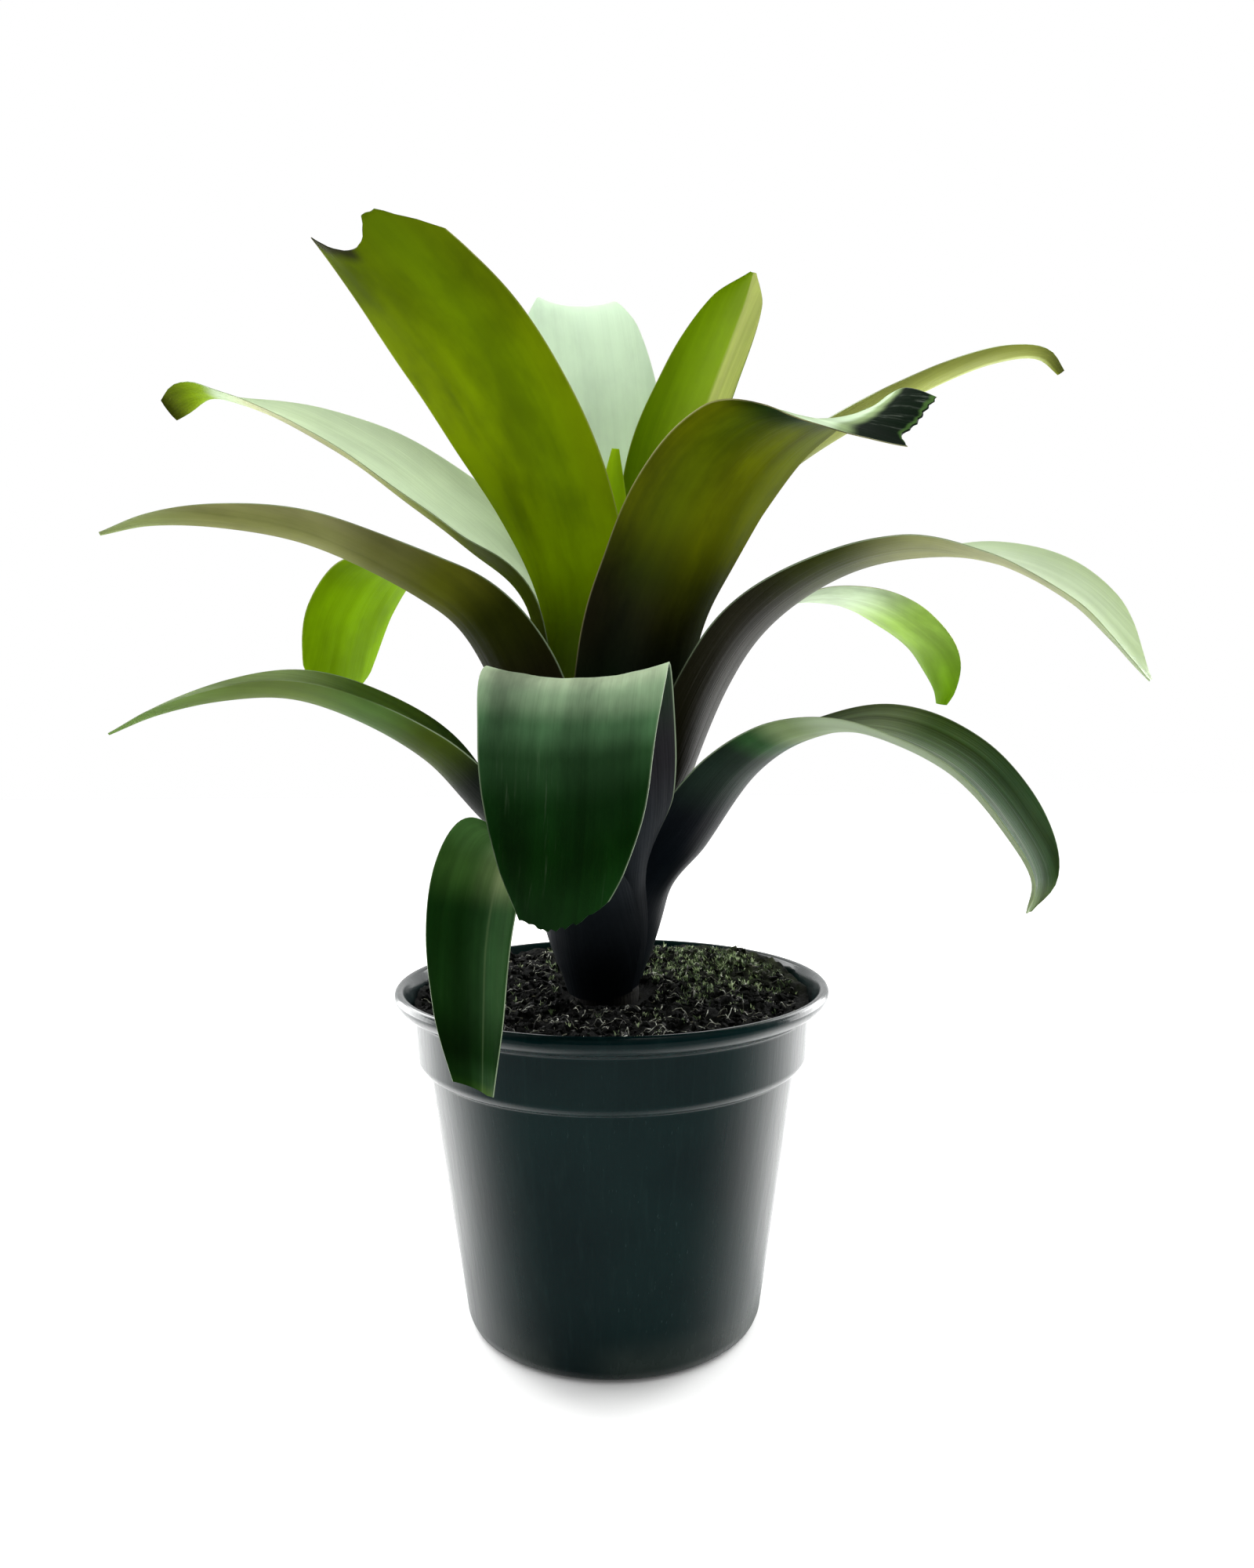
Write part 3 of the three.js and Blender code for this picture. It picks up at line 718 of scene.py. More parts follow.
@dataclass
class Leaf:
    """Builds one blade as a closed body with fine faces, waves and a torn end."""

    form: LeafForm
    funnel: Funnel
    stem: "Stem"
    stations: int = 111
    columns: int = 25
    base_thickness: float = 1.5
    tip_thickness: float = 1.1
    edge_thickness: float = 0.5
    ease: float = 0.14
    tear_start: float = 0.6
    shift: float = 1e-3
    wave: float = 0.6
    free_from: tuple[float, float] = (0.08, 0.2)
    channel: tuple[float, float] = (0.22, 4.2)
    fine_channel: tuple[float, float] = (0.12, 1.9)
    swell: tuple[float, float, float] = (0.5, 41.0, 13.0)
    margin_wave: float = 23.0
    ragged_wave: tuple[float, float, float] = (23.0, 51.0, 0.6)

    def __post_init__(self) -> None:
        """Prepares the midrib and the section's knots."""
        form = self.form
        start = self.funnel.start(form.layer, self.stem)
        heading = math.radians(form.heading)
        sheath = []
        for share in (0.0, 0.5, 1.0):
            z = start + (form.depart - start) * share
            r = float(self.funnel.radius(form.layer, z))
            sheath.append((self.funnel.axis_x + r * math.cos(heading), r * math.sin(heading), z))
        self.midrib = Midrib(np.array([*sheath, *form.path], float))
        held = np.linalg.norm(np.diff(np.array(sheath), axis=0), axis=1).sum()
        self.sheath_share = held / self.midrib.length
        base_half = float(self.funnel.radius(form.layer, start)) * math.radians(self.funnel.half_angle)
        self.half = ((0.0, base_half), *form.half)
        self.cup = ((0.0, self.funnel.half_angle), *form.cup)

    def _torn_share(self, t: np.ndarray) -> np.ndarray:
        """Share of length missing at each place across, with a ragged line."""
        places = np.linspace(-1, 1, len(self.form.torn))
        missing = np.interp(t, places, self.form.torn)
        coarse, fine, depth = self.ragged_wave
        rough = np.sin(t * coarse + self.form.heading) + np.sin(t * fine + self.form.layer) * depth
        return missing + self.form.ragged * (0.5 + 0.3 * rough)

    def _share(self, s: np.ndarray, t: np.ndarray) -> np.ndarray:
        """Share of the length reached at each place, once the torn end is taken off."""
        tear = smooth((s - self.tear_start) / (1 - self.tear_start))
        return s * (1 - self._torn_share(t) * tear)

    def _points(self, s: np.ndarray, t: np.ndarray) -> np.ndarray:
        """Points of the middle surface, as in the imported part."""
        u = self._share(s, t)
        heading = math.radians(self.form.heading)
        mid = self.midrib.at(u)
        tangent = self.midrib.at(u + self.shift) - self.midrib.at(u - self.shift)
        tangent /= np.linalg.norm(tangent, axis=-1, keepdims=True)
        level = np.array([-math.sin(heading), math.cos(heading), 0.0])
        side = level - (tangent @ level)[..., None] * tangent
        side /= np.linalg.norm(side, axis=-1, keepdims=True)
        over = np.cross(tangent, side)
        twist = np.radians(through_knots(self.form.twist, u))[..., None]
        turned = side * np.cos(twist) + over * np.sin(twist)
        up = np.cross(tangent, turned)
        cup = np.radians(through_knots(self.cup, u))
        bend = through_knots(self.half, u) / cup
        points = mid + turned * (bend * np.sin(cup * t))[..., None]
        points = points + up * (bend * (1 - np.cos(cup * t)))[..., None]
        share = 1 - smooth((u - self.sheath_share) / self.ease)
        return self.funnel.hold(self.form.layer, points, share)

    def _waves(self, s: np.ndarray, t: np.ndarray) -> np.ndarray:
        """Small rises of the surface: long channels and a lightly waved margin, none at the sheath."""
        form = self.form
        length = self.midrib.length
        width = through_knots(self.half, s)
        begin, fade = self.free_from
        free = smooth((s - self.sheath_share - begin) / fade)
        depth, period = self.channel
        channels = depth * np.sin(width * t / period + form.layer)
        depth, period = self.fine_channel
        channels = channels + depth * np.sin(width * t / period + 1.7)
        depth, along, across = self.swell
        swell = depth * np.sin(s * length / along + form.heading) * np.sin(width * t / across + form.layer)
        margin = np.sin(s * length / self.margin_wave + form.heading + np.sign(t)) * np.abs(t) ** 4
        return self.wave * free * (channels + swell + margin)

    def shape(self) -> Shape:
        """Builds the two faces and the rim.

        Returns:
            The closed blade with its maps.
        """
        stations = np.linspace(0, 1, self.stations)
        s, t = np.meshgrid(stations, np.linspace(-1, 1, self.columns), indexing="ij")
        near, far = (self._points(np.clip(s + shift, 0, 1), t) for shift in (-self.shift, self.shift))
        left, right = (self._points(s, np.clip(t + shift, -1, 1)) for shift in (-self.shift, self.shift))
        middle = self._points(s, t)
        normal = np.cross(far - near, right - left)
        normal /= np.linalg.norm(normal, axis=-1, keepdims=True)
        thick = self.base_thickness + (self.tip_thickness - self.base_thickness) * s
        thick = thick + (self.edge_thickness - thick) * smooth((np.abs(t) - 0.5) * 2)
        middle = middle + normal * self._waves(s, t)[..., None]
        lower = (middle - normal * thick[..., None] / 2).reshape(-1, 3)
        upper = (middle + normal * thick[..., None] / 2).reshape(-1, 3)
        shape = Shape()
        faces, finishes = self._faces()
        shape.add(np.concatenate([lower, upper]), faces)
        shape.finishes = finishes
        u = self._share(s, t)
        width = through_knots(self.half, u)
        blade = np.stack([t / 2 + 0.5, s], -1).reshape(-1, 2)
        size = np.stack([t * width * MM, u * self.midrib.length * MM], -1).reshape(-1, 2)
        shape.maps = {"blade": np.concatenate([blade, blade]), "metres": np.concatenate([size, size])}
        return shape

    def _faces(self) -> tuple[list[tuple[int, ...]], list[int]]:
        """Faces of the lower side, the upper side and the rim between them, with their material numbers."""
        rows, columns = self.stations, self.columns
        count = rows * columns
        faces = []
        finishes = []
        for i in range(rows - 1):
            for j in range(columns - 1):
                a = i * columns + j
                faces.append((a, a + 1, a + columns + 1, a + columns))
                faces.append(tuple(count + k for k in (a, a + columns, a + columns + 1, a + 1)))
                finishes.extend([Face.LOWER.value, Face.UPPER.value])
            left = i * columns
            right = left + columns - 1
            faces.append((left, left + columns, count + left + columns, count + left))
            faces.append((right + columns, right, count + right, count + right + columns))
            finishes.extend([Face.LOWER.value] * 2)
        tip = (rows - 1) * columns
        for j in range(columns - 1):
            faces.append((j + 1, j, count + j, count + j + 1))
            faces.append((tip + j, tip + j + 1, count + tip + j + 1, count + tip + j))
            finishes.extend([Face.LOWER.value] * 2)
        return faces, finishes

    def build(self) -> bpy.types.Object:
        """Makes the piece in its two finishes.

        Returns:
            The leaf, riding on the root and standing for its node.
        """
        name = self.form.name
        materials = [
            self.form.lower.material(f"{name}_underside"),
            self.form.upper.material(f"{name}_upper_side"),
        ]
        piece = self.shape().build(name.replace("leaf_", "blade_"), materials)
        return adopt(piece, name)


def adopt(piece: bpy.types.Object, node: Optional[str]) -> bpy.types.Object:
    """Lets a piece ride on the root, and stand for a node.

    Args:
        piece: The piece.
        node: The node it replaces, if any.

    Returns:
        The piece.
    """
    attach(piece, "root")
    if node:
        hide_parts(node)
    return piece


@dataclass
class Stem:
    """The short stem that the sheaths wrap, standing in the soil."""

    funnel: Funnel = field(default_factory=Funnel)
    socket_radius: float = 17.8
    foot: float = 148.4
    soil_level: float = 178.0
    knots: Knots = ((176, 18.4), (186, 17.8), (210, 15.3), (240, 12), (268, 8))
    top: float = 268.0
    foot_corner: tuple[float, float] = (4.0, 5.6)
    top_flat: float = 0.6
    soil_gap: float = 3.0
    crown: float = 2.0
    scar_pitch: float = 4.0
    scar_depth: float = 0.35
    segments: int = 96

    def radius(self, height: Any) -> np.ndarray:
        """Radius above the soil."""
        return through_knots(self.knots, height)

    def build(self) -> bpy.types.Object:
        """Turns the stem with a ring scar for each old leaf.

        Returns:
            The stem.
        """
        corner_in, corner_up = self.foot_corner
        profile = [
            (0.0, self.foot), (self.socket_radius - corner_in, self.foot),
            (self.socket_radius, self.foot + corner_up),
            (self.socket_radius, self.soil_level - self.soil_gap),
        ]
        for height in np.arange(self.soil_level + 1, self.top, 1.0):
            scar = self.scar_depth * (0.5 + 0.5 * math.cos(2 * math.pi * height / self.scar_pitch))
            profile.append((float(self.radius(height)) - scar, float(height)))
        profile += [(float(self.radius(self.top)) * self.top_flat, self.top), (0.0, self.top + self.crown)]
        shape = lathe(profile, self.segments, self.funnel.axis_x)
        return adopt(shape.build("stem_with_scars", [self._bark()]), "stem")

    def _bark(self) -> bpy.types.Material:
        """Dark fibrous bark."""
        material, paint = new_paint("stem_bark")
        place = paint.place()
        fibres = paint.noise(paint.stretch(place, (700.0, 700.0, 60.0)), 1.0, 4.0)
        clouds = paint.noise(place, 60.0, 3.0)
        base = paint.ramp(fibres, ((0.3, tone(8, 8, 8)), (0.55, tone(18, 17, 14)), (0.75, tone(34, 32, 26))))
        base = paint.mix(clouds.between(0.5, 0.7) * 0.6, base, tone(10, 10, 10))
        sockets = {"Base Color": base, "Roughness": 0.85, "IOR": 1.2, "Normal": paint.bump(fibres, 0.0008)}
        paint.close(paint.surface(sockets))
        return material


@dataclass
class Pot:
    """The turned nursery pot: tapered body, stepped collar, rolled rim, recessed floor with drain holes."""

    height: float = 187.0
    wall: float = 1.6
    base_radius: float = 82.0
    base_corner: float = 6.0
    body_top_radius: float = 101.8
    body_top_height: float = 144.0
    collar_low_radius: float = 107.8
    collar_low_height: float = 149.0
    collar_top_radius: float = 109.6
    collar_top_height: float = 174.0
    rim_radius: float = 120.0
    rim_thickness: float = 6.5
    recess: float = 3.0
    floor: float = 2.2
    pad_radius: float = 44.0
    ring_inner: float = 66.0
    drain_holes: int = 8
    drain_radius: float = 4.5
    drain_circle: float = 55.0
    drain_sides: int = 24
    cutter_reach: float = 10.0
    corner_radius: float = 1.4
    inner_neck: tuple[float, float] = (1.2, 4.0)
    inner_lift: float = 1.0
    inner_corner: float = 3.0
    step: tuple[float, float] = (3.6, 1.4)
    rim_foot: tuple[float, float] = (3.2, 2.2)
    rim_section: Knots = (
        (0.6, 1.45), (0.2, 1.0), (0.0, 0.6), (0.12, 0.22), (0.4, 0.0), (0.75, 0.08), (1.0, 0.5),
    )
    segments: int = 192

    def _underside(self) -> list[tuple[float, float]]:
        """From the middle pad to the standing ring."""
        return [
            (0.0, 0.0), (self.pad_radius, 0.0), (self.pad_radius + 1, self.recess),
            (self.ring_inner - 1, self.recess), (self.ring_inner, 0.0),
        ]

    def _outside(self) -> list[tuple[float, float]]:
        """From the base corner up to the underside of the rim."""
        corner = self.base_corner
        step_out, step_up = self.step
        foot_out, foot_up = self.rim_foot
        return [
            (self.base_radius - corner, 0.0), (self.base_radius - corner * 0.3, corner * 0.3),
            (self.base_radius, corner), (self.body_top_radius, self.body_top_height),
            (self.body_top_radius + step_out, self.body_top_height + step_up),
            (self.collar_low_radius, self.collar_low_height),
            (self.collar_top_radius, self.collar_top_height),
            (self.collar_top_radius + foot_out, self.collar_top_height + foot_up),
        ]

    def _rim(self) -> list[tuple[float, float]]:
        """Round the rolled rim."""
        thick = self.rim_thickness
        return [(self.rim_radius - thick * inward, self.height - thick * down)
                for inward, down in self.rim_section]

    def _inside(self) -> list[tuple[float, float]]:
        """From the rim down to the floor."""
        bottom = self.recess + self.floor
        neck_out, neck_up = self.inner_neck
        return [
            (self.collar_top_radius + neck_out, self.collar_top_height + neck_up),
            (self.collar_top_radius - self.wall, self.collar_top_height),
            (self.collar_low_radius - self.wall, self.collar_low_height + self.inner_lift),
            (self.body_top_radius - self.wall, self.body_top_height + self.inner_lift),
            (self.base_radius - self.wall, bottom + self.inner_corner),
            (self.base_radius - self.wall - self.inner_corner, bottom),
            (0.0, bottom),
        ]

    def build(self) -> bpy.types.Object:
        """Turns the pot and cuts its drain holes.

        Returns:
            The pot.
        """
        profile = [*self._underside(), *self._outside(), *self._rim(), *self._inside()]
        turned = lathe(rounded(profile, self.corner_radius), self.segments)
        piece = turned.build("pot_shell", [self._plastic()], 60.0)
        self._drill(piece)
        return adopt(piece, "pot")

    def _drill(self, piece: bpy.types.Object) -> None:
        """Cuts the ring of drain holes out of the floor.

        Args:
            piece: The turned pot.
        """
        cutters = Shape()
        sides = self.drain_sides
        angles = np.arange(sides) * 2 * math.pi / sides
        for hole in range(self.drain_holes):
            turn = 2 * math.pi * (hole + 0.5) / self.drain_holes
            x = self.drain_circle * math.cos(turn) + self.drain_radius * np.cos(angles)
            y = self.drain_circle * math.sin(turn) + self.drain_radius * np.sin(angles)
            rings = [np.stack([x, y, np.full(sides, z)], -1) for z in (-self.cutter_reach, self.cutter_reach)]
            cutters.add(np.concatenate(rings), prism_faces(sides))
        cutter = cutters.build("drain_cutter", [])
        change = piece.modifiers.new("drain_holes", "BOOLEAN")
        change.operation = "DIFFERENCE"
        change.object = cutter
        change.solver = "EXACT"
        graph = bpy.context.evaluated_depsgraph_get()
        drilled = bpy.data.meshes.new_from_object(piece.evaluated_get(graph))
        piece.modifiers.clear()
        piece.data = drilled
        bpy.data.objects.remove(cutter, do_unlink=True)

    def _plastic(self) -> bpy.types.Material:
        """Glossy dark teal-green plastic with drawn streaks, scuffs and a little dust."""
        material, paint = new_paint("pot_plastic")
        place = paint.place()
        _, _, height = paint.split(place)
        drawn = paint.noise(paint.stretch(place, (240.0, 240.0, 7.0)), 1.0, 4.0, 0.6)
        clouds = paint.noise(place, 14.0, 3.0)
        scuffs = paint.noise(paint.stretch(place, (1200.0, 1200.0, 40.0)), 1.0, 2.0, 0.7)
        base = paint.ramp(clouds, ((0.3, tone(2, 19, 20)), (0.7, tone(6, 27, 27))))
        base = paint.mix(drawn.between(0.5, 0.8) * 0.25, base, tone(20, 40, 39))
        marks = scuffs.between(0.66, 0.74) * clouds.between(0.45, 0.65)
        base = paint.mix(marks * 0.12, base, tone(60, 80, 80))
        splash = height.between(0.03, 0.0) * clouds.between(0.3, 0.7)
        base = paint.mix(splash * 0.3, base, tone(88, 92, 84))
        rough = 0.13 + drawn.between(0.4, 0.8) * 0.08 + marks * 0.3 + splash * 0.3
        normal = paint.bump(drawn * 0.7 + scuffs * 0.3, 0.00025)
        facing = paint.node("ShaderNodeLayerWeight", out="Facing")
        paint.close(paint.surface({
            "Base Color": base, "Roughness": rough, "Normal": normal, "IOR": 1.14,
            "Coat Weight": facing.between(0.25, 0.6) * (0.55 - facing.between(0.65, 0.9) * 0.5),
            "Coat Roughness": 0.14,
        }))
        return material


@dataclass
class Soil:
    """The potting mix: a lumpy filling with crumbs, bark flecks, pale fibres and a mossy patch."""

    pot: Pot
    funnel: Funnel = field(default_factory=Funnel)
    gap: float = 0.4
    level: float = 178.0
    socket_radius: float = 18.4
    socket_floor: float = 148.0
    clear_of_sheaths: float = 6.0
    edge_out: float = 1.2
    rings: int = 84
    segments: int = 220
    foot: tuple[float, float] = (24.0, 2.0)
    back_rise: tuple[float, float, float] = (5.0, -20.0, 100.0)
    heap: tuple[float, float, float, float] = (66.0, 54.0, 5.0, 46.0)
    lumps: tuple[float, float, float, float] = (9.0, 1.1, 5.5, 0.8)
    clods: tuple[float, float] = (9.0, 2.6)
    crumbs: tuple[float, float] = (2.1, 1.5)
    strewn: tuple[float, float] = (27.0, 104.0)
    crumb_count: int = 2100
    bark_count: int = 420
    fibre_count: int = 460
    moss_tries: int = 2200
    moss_tuft: int = 7
    moss_middle: tuple[float, float] = (64.0, 50.0)
    moss_spread: float = 52.0
    moss_elsewhere: float = 0.03
    floor_corner: tuple[float, float] = (4.0, 5.0)
    side_slack: float = 0.3
    body_lift: float = 0.5
    collar_slack: tuple[float, float] = (0.8, 4.0)
    top_slack: tuple[float, float] = (0.5, 6.0)
    socket_shift: tuple[float, float, float] = (24.0, 27.0, 6.0)
    crumb_size: float = 2.6
    crumb_rough: float = 0.22
    bark_length: tuple[float, float] = (1.6, 5.5)
    bark_width: tuple[float, float] = (0.25, 0.6)
    bark_thick: tuple[float, float] = (0.3, 0.8)
    bark_jag: float = 0.15
    bark_tilt: float = 0.5
    fibre_length: tuple[float, float] = (3.0, 15.0)
    fibre_lift: tuple[float, float] = (0.2, 2.2)
    fibre_radius: tuple[float, float] = (0.16, 0.34)
    fibre_bend: tuple[float, float] = (0.13, 0.1)
    fibre_steps: int = 9
    moss_height: tuple[float, float] = (0.8, 3.4)
    moss_lean: tuple[float, float] = (0.2, 1.4)
    moss_radius: tuple[float, float] = (0.18, 0.36)
    moss_scatter: float = 0.9
    seed: int = 7

    def base_height(self, x: float, y: float) -> float:
        """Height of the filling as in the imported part."""
        heap_x, heap_y, heap_height, spread = self.heap
        heap = heap_height * math.exp(-((x - heap_x) ** 2 + (y - heap_y) ** 2) / spread ** 2)
        rise, start, length = self.back_rise
        back = rise * float(smooth((y - start) / length))
        coarse_length, coarse, fine_length, fine = self.lumps
        lumps = coarse * math.sin(x / coarse_length + 1.3) * math.cos(y / (coarse_length - 1))
        lumps += fine * math.sin((x + y) / fine_length)
        clear = self._clear(x, y)
        return self.level - self.foot[1] * (1 - clear) + (heap + back + lumps) * clear

    def _clear(self, x: float, y: float) -> float:
        """0 beside the sheaths and 1 away from them."""
        distance = math.hypot(x - self.funnel.axis_x, y) - self.foot[0]
        return float(smooth(distance / self.clear_of_sheaths))

    def height(self, x: float, y: float) -> float:
        """Height with clods and crumbs.

        Args:
            x: Place across.
            y: Place in depth.

        Returns:
            The height in millimetres.
        """
        clod, clod_height = self.clods
        crumb, crumb_height = self.crumbs
        clods = noise.fractal(Vector((x / clod, y / clod, 3.1)), 0.7, 2.3, 5) * clod_height
        crumbs = abs(noise.noise(Vector((x / crumb, y / crumb, 8.4)))) * crumb_height
        return self.base_height(x, y) + (clods + crumbs) * self._clear(x, y)

    def build(self) -> list[bpy.types.Object]:
        """Makes the filling and what lies on it.

        Returns:
            The pieces.
        """
        earth = self._earth()
        fibre = self._strand_finish("root_fibre", 220.0, 0.7, ROOT_FIBRE)
        green = self._strand_finish("moss", 260.0, 0.75, MOSS)
        filling = adopt(self._filling().build("soil_filling", [earth], 180.0), "soil")
        rng = np.random.default_rng(self.seed)
        crumbs = adopt(self._crumbs(rng).build("soil_crumbs", [earth], 30.0), None)
        bark = adopt(self._bark(rng).build("soil_bark", [self._bark_finish()], 30.0), None)
        fibres = adopt(self._fibres(rng).build("soil_fibres", [fibre]), None)
        moss = adopt(self._moss(rng).build("soil_moss", [green]), None)
        return [filling, crumbs, bark, fibres, moss]

    def _filling(self) -> Shape:
        """The closed body of the filling, with its fine top and the stem's socket."""
        pot = self.pot
        wall = pot.wall + self.gap
        floor = pot.recess + pot.floor + self.gap
        top_radius = pot.collar_top_radius - wall
        corner_in, corner_up = self.floor_corner
        collar_in, collar_up = self.collar_slack
        top_in, top_down = self.top_slack
        side = [
            (0.0, floor), (pot.base_radius - wall - corner_in, floor),
            (pot.base_radius - wall - self.side_slack, floor + corner_up),
            (pot.body_top_radius - wall - self.side_slack, pot.body_top_height + self.body_lift),
            (pot.collar_low_radius - wall - collar_in, pot.collar_low_height + collar_up),
            (top_radius - top_in, self.level - top_down),
        ]
        spread = np.linspace(top_radius + self.edge_out, self.socket_radius, self.rings)
        profile = [*side, *((float(r), self.level) for r in spread)]
        profile += [(self.socket_radius, self.socket_floor), (0.0, self.socket_floor)]
        shape = lathe(profile, self.segments)
        reach, start, fade = self.socket_shift
        points = []
        for x, y, z in shape.points:
            radius = math.hypot(x, y)
            if radius < reach and z > self.socket_floor - 1:
                x += self.funnel.axis_x * float(smooth((start - radius) / fade))
            if z > self.level - 1:
                z = self.height(x, y)
            points.append((x, y, z))
        shape.points = points
        return shape

    def _place(self, rng: np.random.Generator) -> tuple[float, float]:
        """A random place on the top, evenly spread."""
        inner, outer = self.strewn
        radius = math.sqrt(rng.uniform(inner**2, outer**2))
        turn = rng.uniform(0, 2 * math.pi)
        return self.funnel.axis_x * 0.5 + radius * math.cos(turn), radius * math.sin(turn)

    def _crumbs(self, rng: np.random.Generator) -> Shape:
        """Loose crumbs of earth, each a rough lump half sunk in the top."""
        ball = self._ball()
        shape = Shape()
        for _ in range(self.crumb_count):
            x, y = self._place(rng)
            size = rng.uniform(0.5, 1.0) ** 2 * self.crumb_size
            lump = ball[0] * (1 + self.crumb_rough * rng.standard_normal((len(ball[0]), 1)))
            lump = lump * size * rng.uniform(0.6, 1.2, 3)
            middle = np.array([x, y, self.height(x, y) + size * 0.1])
            shape.add(lump @ self._turn(rng) + middle, ball[1])
        return shape

    @staticmethod
    def _ball() -> tuple[np.ndarray, list[tuple[int, ...]]]:
        """A round lump of twelve corners."""
        golden = (1 + math.sqrt(5)) / 2
        corners = [(-1, golden, 0), (1, golden, 0), (-1, -golden, 0), (1, -golden, 0)]
        corners += [(0, -1, golden), (0, 1, golden), (0, -1, -golden), (0, 1, -golden)]
        corners += [(golden, 0, -1), (golden, 0, 1), (-golden, 0, -1), (-golden, 0, 1)]
        around = [(0, 11, 5), (0, 5, 1), (0, 1, 7), (0, 7, 10), (0, 10, 11)]
        upper = [(1, 5, 9), (5, 11, 4), (11, 10, 2), (10, 7, 6), (7, 1, 8)]
        lower = [(3, 9, 4), (3, 4, 2), (3, 2, 6), (3, 6, 8), (3, 8, 9)]
        join = [(4, 9, 5), (2, 4, 11), (6, 2, 10), (8, 6, 7), (9, 8, 1)]
        points = np.array(corners, float)
        return points / np.linalg.norm(points[0]), around + upper + lower + join

    @staticmethod
    def _turn(rng: np.random.Generator) -> np.ndarray:
        """A random turn."""
        return np.array(Euler(tuple(rng.uniform(0, 2 * math.pi, 3))).to_matrix())

    def _bark(self, rng: np.random.Generator) -> Shape:
        """Flat bark flecks and leaf scraps lying on the top."""
        shape = Shape()
        fleck = np.array([(-1, -0.7, 0), (-0.2, -1, 0), (0.9, -0.5, 0),
                          (1, 0.5, 0), (0.1, 1, 0), (-0.9, 0.6, 0)])
        faces = prism_faces(len(fleck))
        tilt = self.bark_tilt
        for _ in range(self.bark_count):
            x, y = self._place(rng)
            length = rng.uniform(*self.bark_length)
            width = length * rng.uniform(*self.bark_width)
            thick = rng.uniform(*self.bark_thick)
            corners = fleck + rng.uniform(-self.bark_jag, self.bark_jag, fleck.shape) * (1, 1, 0)
            outline = corners * (length / 2, width / 2, 0)
            lower = outline - (0, 0, thick / 2)
            upper = outline * (0.9, 0.9, 1) + (0, 0, thick / 2)
            turn = Euler((rng.uniform(-tilt, tilt), rng.uniform(-tilt, tilt), rng.uniform(0, 2 * math.pi)))
            points = np.concatenate([lower, upper]) @ np.array(turn.to_matrix()).T
            shape.add(points + (x, y, self.height(x, y) + thick * 0.6), faces)
        return shape

    def _strand(self, shape: Shape, line: np.ndarray, radius: float, sides: int = 4) -> None:
        """Adds one thin closed strand along a line.

        Args:
            shape: What it is added to.
            line: The points it follows.
            radius: Its radius at the middle.
            sides: Sides of its section.
        """
        count = len(line)
        tangent = np.gradient(line, axis=0)
        tangent /= np.linalg.norm(tangent, axis=1, keepdims=True)
        side = np.cross(tangent, (0.1, 0.2, 1.0))
        side /= np.linalg.norm(side, axis=1, keepdims=True)
        over = np.cross(tangent, side)
        taper = radius * (0.35 + 0.65 * np.sin(np.linspace(0.2, math.pi - 0.2, count)))
        points = []
        for k in range(sides):
            turn = 2 * math.pi * k / sides
            points.append(line + (side * math.cos(turn) + over * math.sin(turn)) * taper[:, None])
        ring = np.stack(points, 1).reshape(-1, 3)
        faces = [tuple(range(sides - 1, -1, -1)), tuple((count - 1) * sides + k for k in range(sides))]
        for i in range(count - 1):
            for k in range(sides):
                a = i * sides + k
                b = i * sides + (k + 1) % sides
                faces.append((a, b, b + sides, a + sides))
        shape.add(ring, faces)

    def _fibres(self, rng: np.random.Generator) -> Shape:
        """Pale root fibres that lie on the top and lift a little."""
        shape = Shape()
        steps = self.fibre_steps
        bend_spread, waver = self.fibre_bend
        for _ in range(self.fibre_count):
            x, y = self._place(rng)
            length = rng.uniform(*self.fibre_length)
            heading = rng.uniform(0, 2 * math.pi)
            bend = rng.normal(0, bend_spread)
            lift = rng.uniform(*self.fibre_lift)
            line = []
            for i in range(steps):
                share = i / (steps - 1)
                z = self.height(x, y) + 0.15 + lift * math.sin(math.pi * share)
                line.append((x, y, z))
                heading += bend + rng.normal(0, waver)
                x += math.cos(heading) * length / steps
                y += math.sin(heading) * length / steps
            inner, outer = self.strewn
            if math.hypot(x, y) < outer + 1 and math.hypot(x - self.funnel.axis_x, y) > inner - 2:
                self._strand(shape, np.array(line), rng.uniform(*self.fibre_radius))
        return shape

    def _moss(self, rng: np.random.Generator) -> Shape:
        """Tufts of moss on the heap at the back right and thinly elsewhere."""
        shape = Shape()
        for _ in range(self.moss_tries):
            x, y = self._place(rng)
            away = math.hypot(x - self.moss_middle[0], y - self.moss_middle[1])
            near = math.exp(-((away / self.moss_spread) ** 2))
            if rng.uniform() > near + self.moss_elsewhere:
                continue
            ground = self.height(x, y)
            for _ in range(self.moss_tuft):
                height = rng.uniform(*self.moss_height)
                heading = rng.uniform(0, 2 * math.pi)
                lean = rng.uniform(*self.moss_lean)
                across, depth = (rng.normal(0, self.moss_scatter) for _ in range(2))
                foot = np.array([x + across, y + depth, ground - 0.3])
                aside = np.array([math.cos(heading), math.sin(heading), 0]) * lean * height * 0.6
                line = [foot + aside * share**1.5 + (0, 0, height * share) for share in (0, 0.35, 0.7, 1)]
                self._strand(shape, np.array(line), rng.uniform(*self.moss_radius), 3)
        return shape

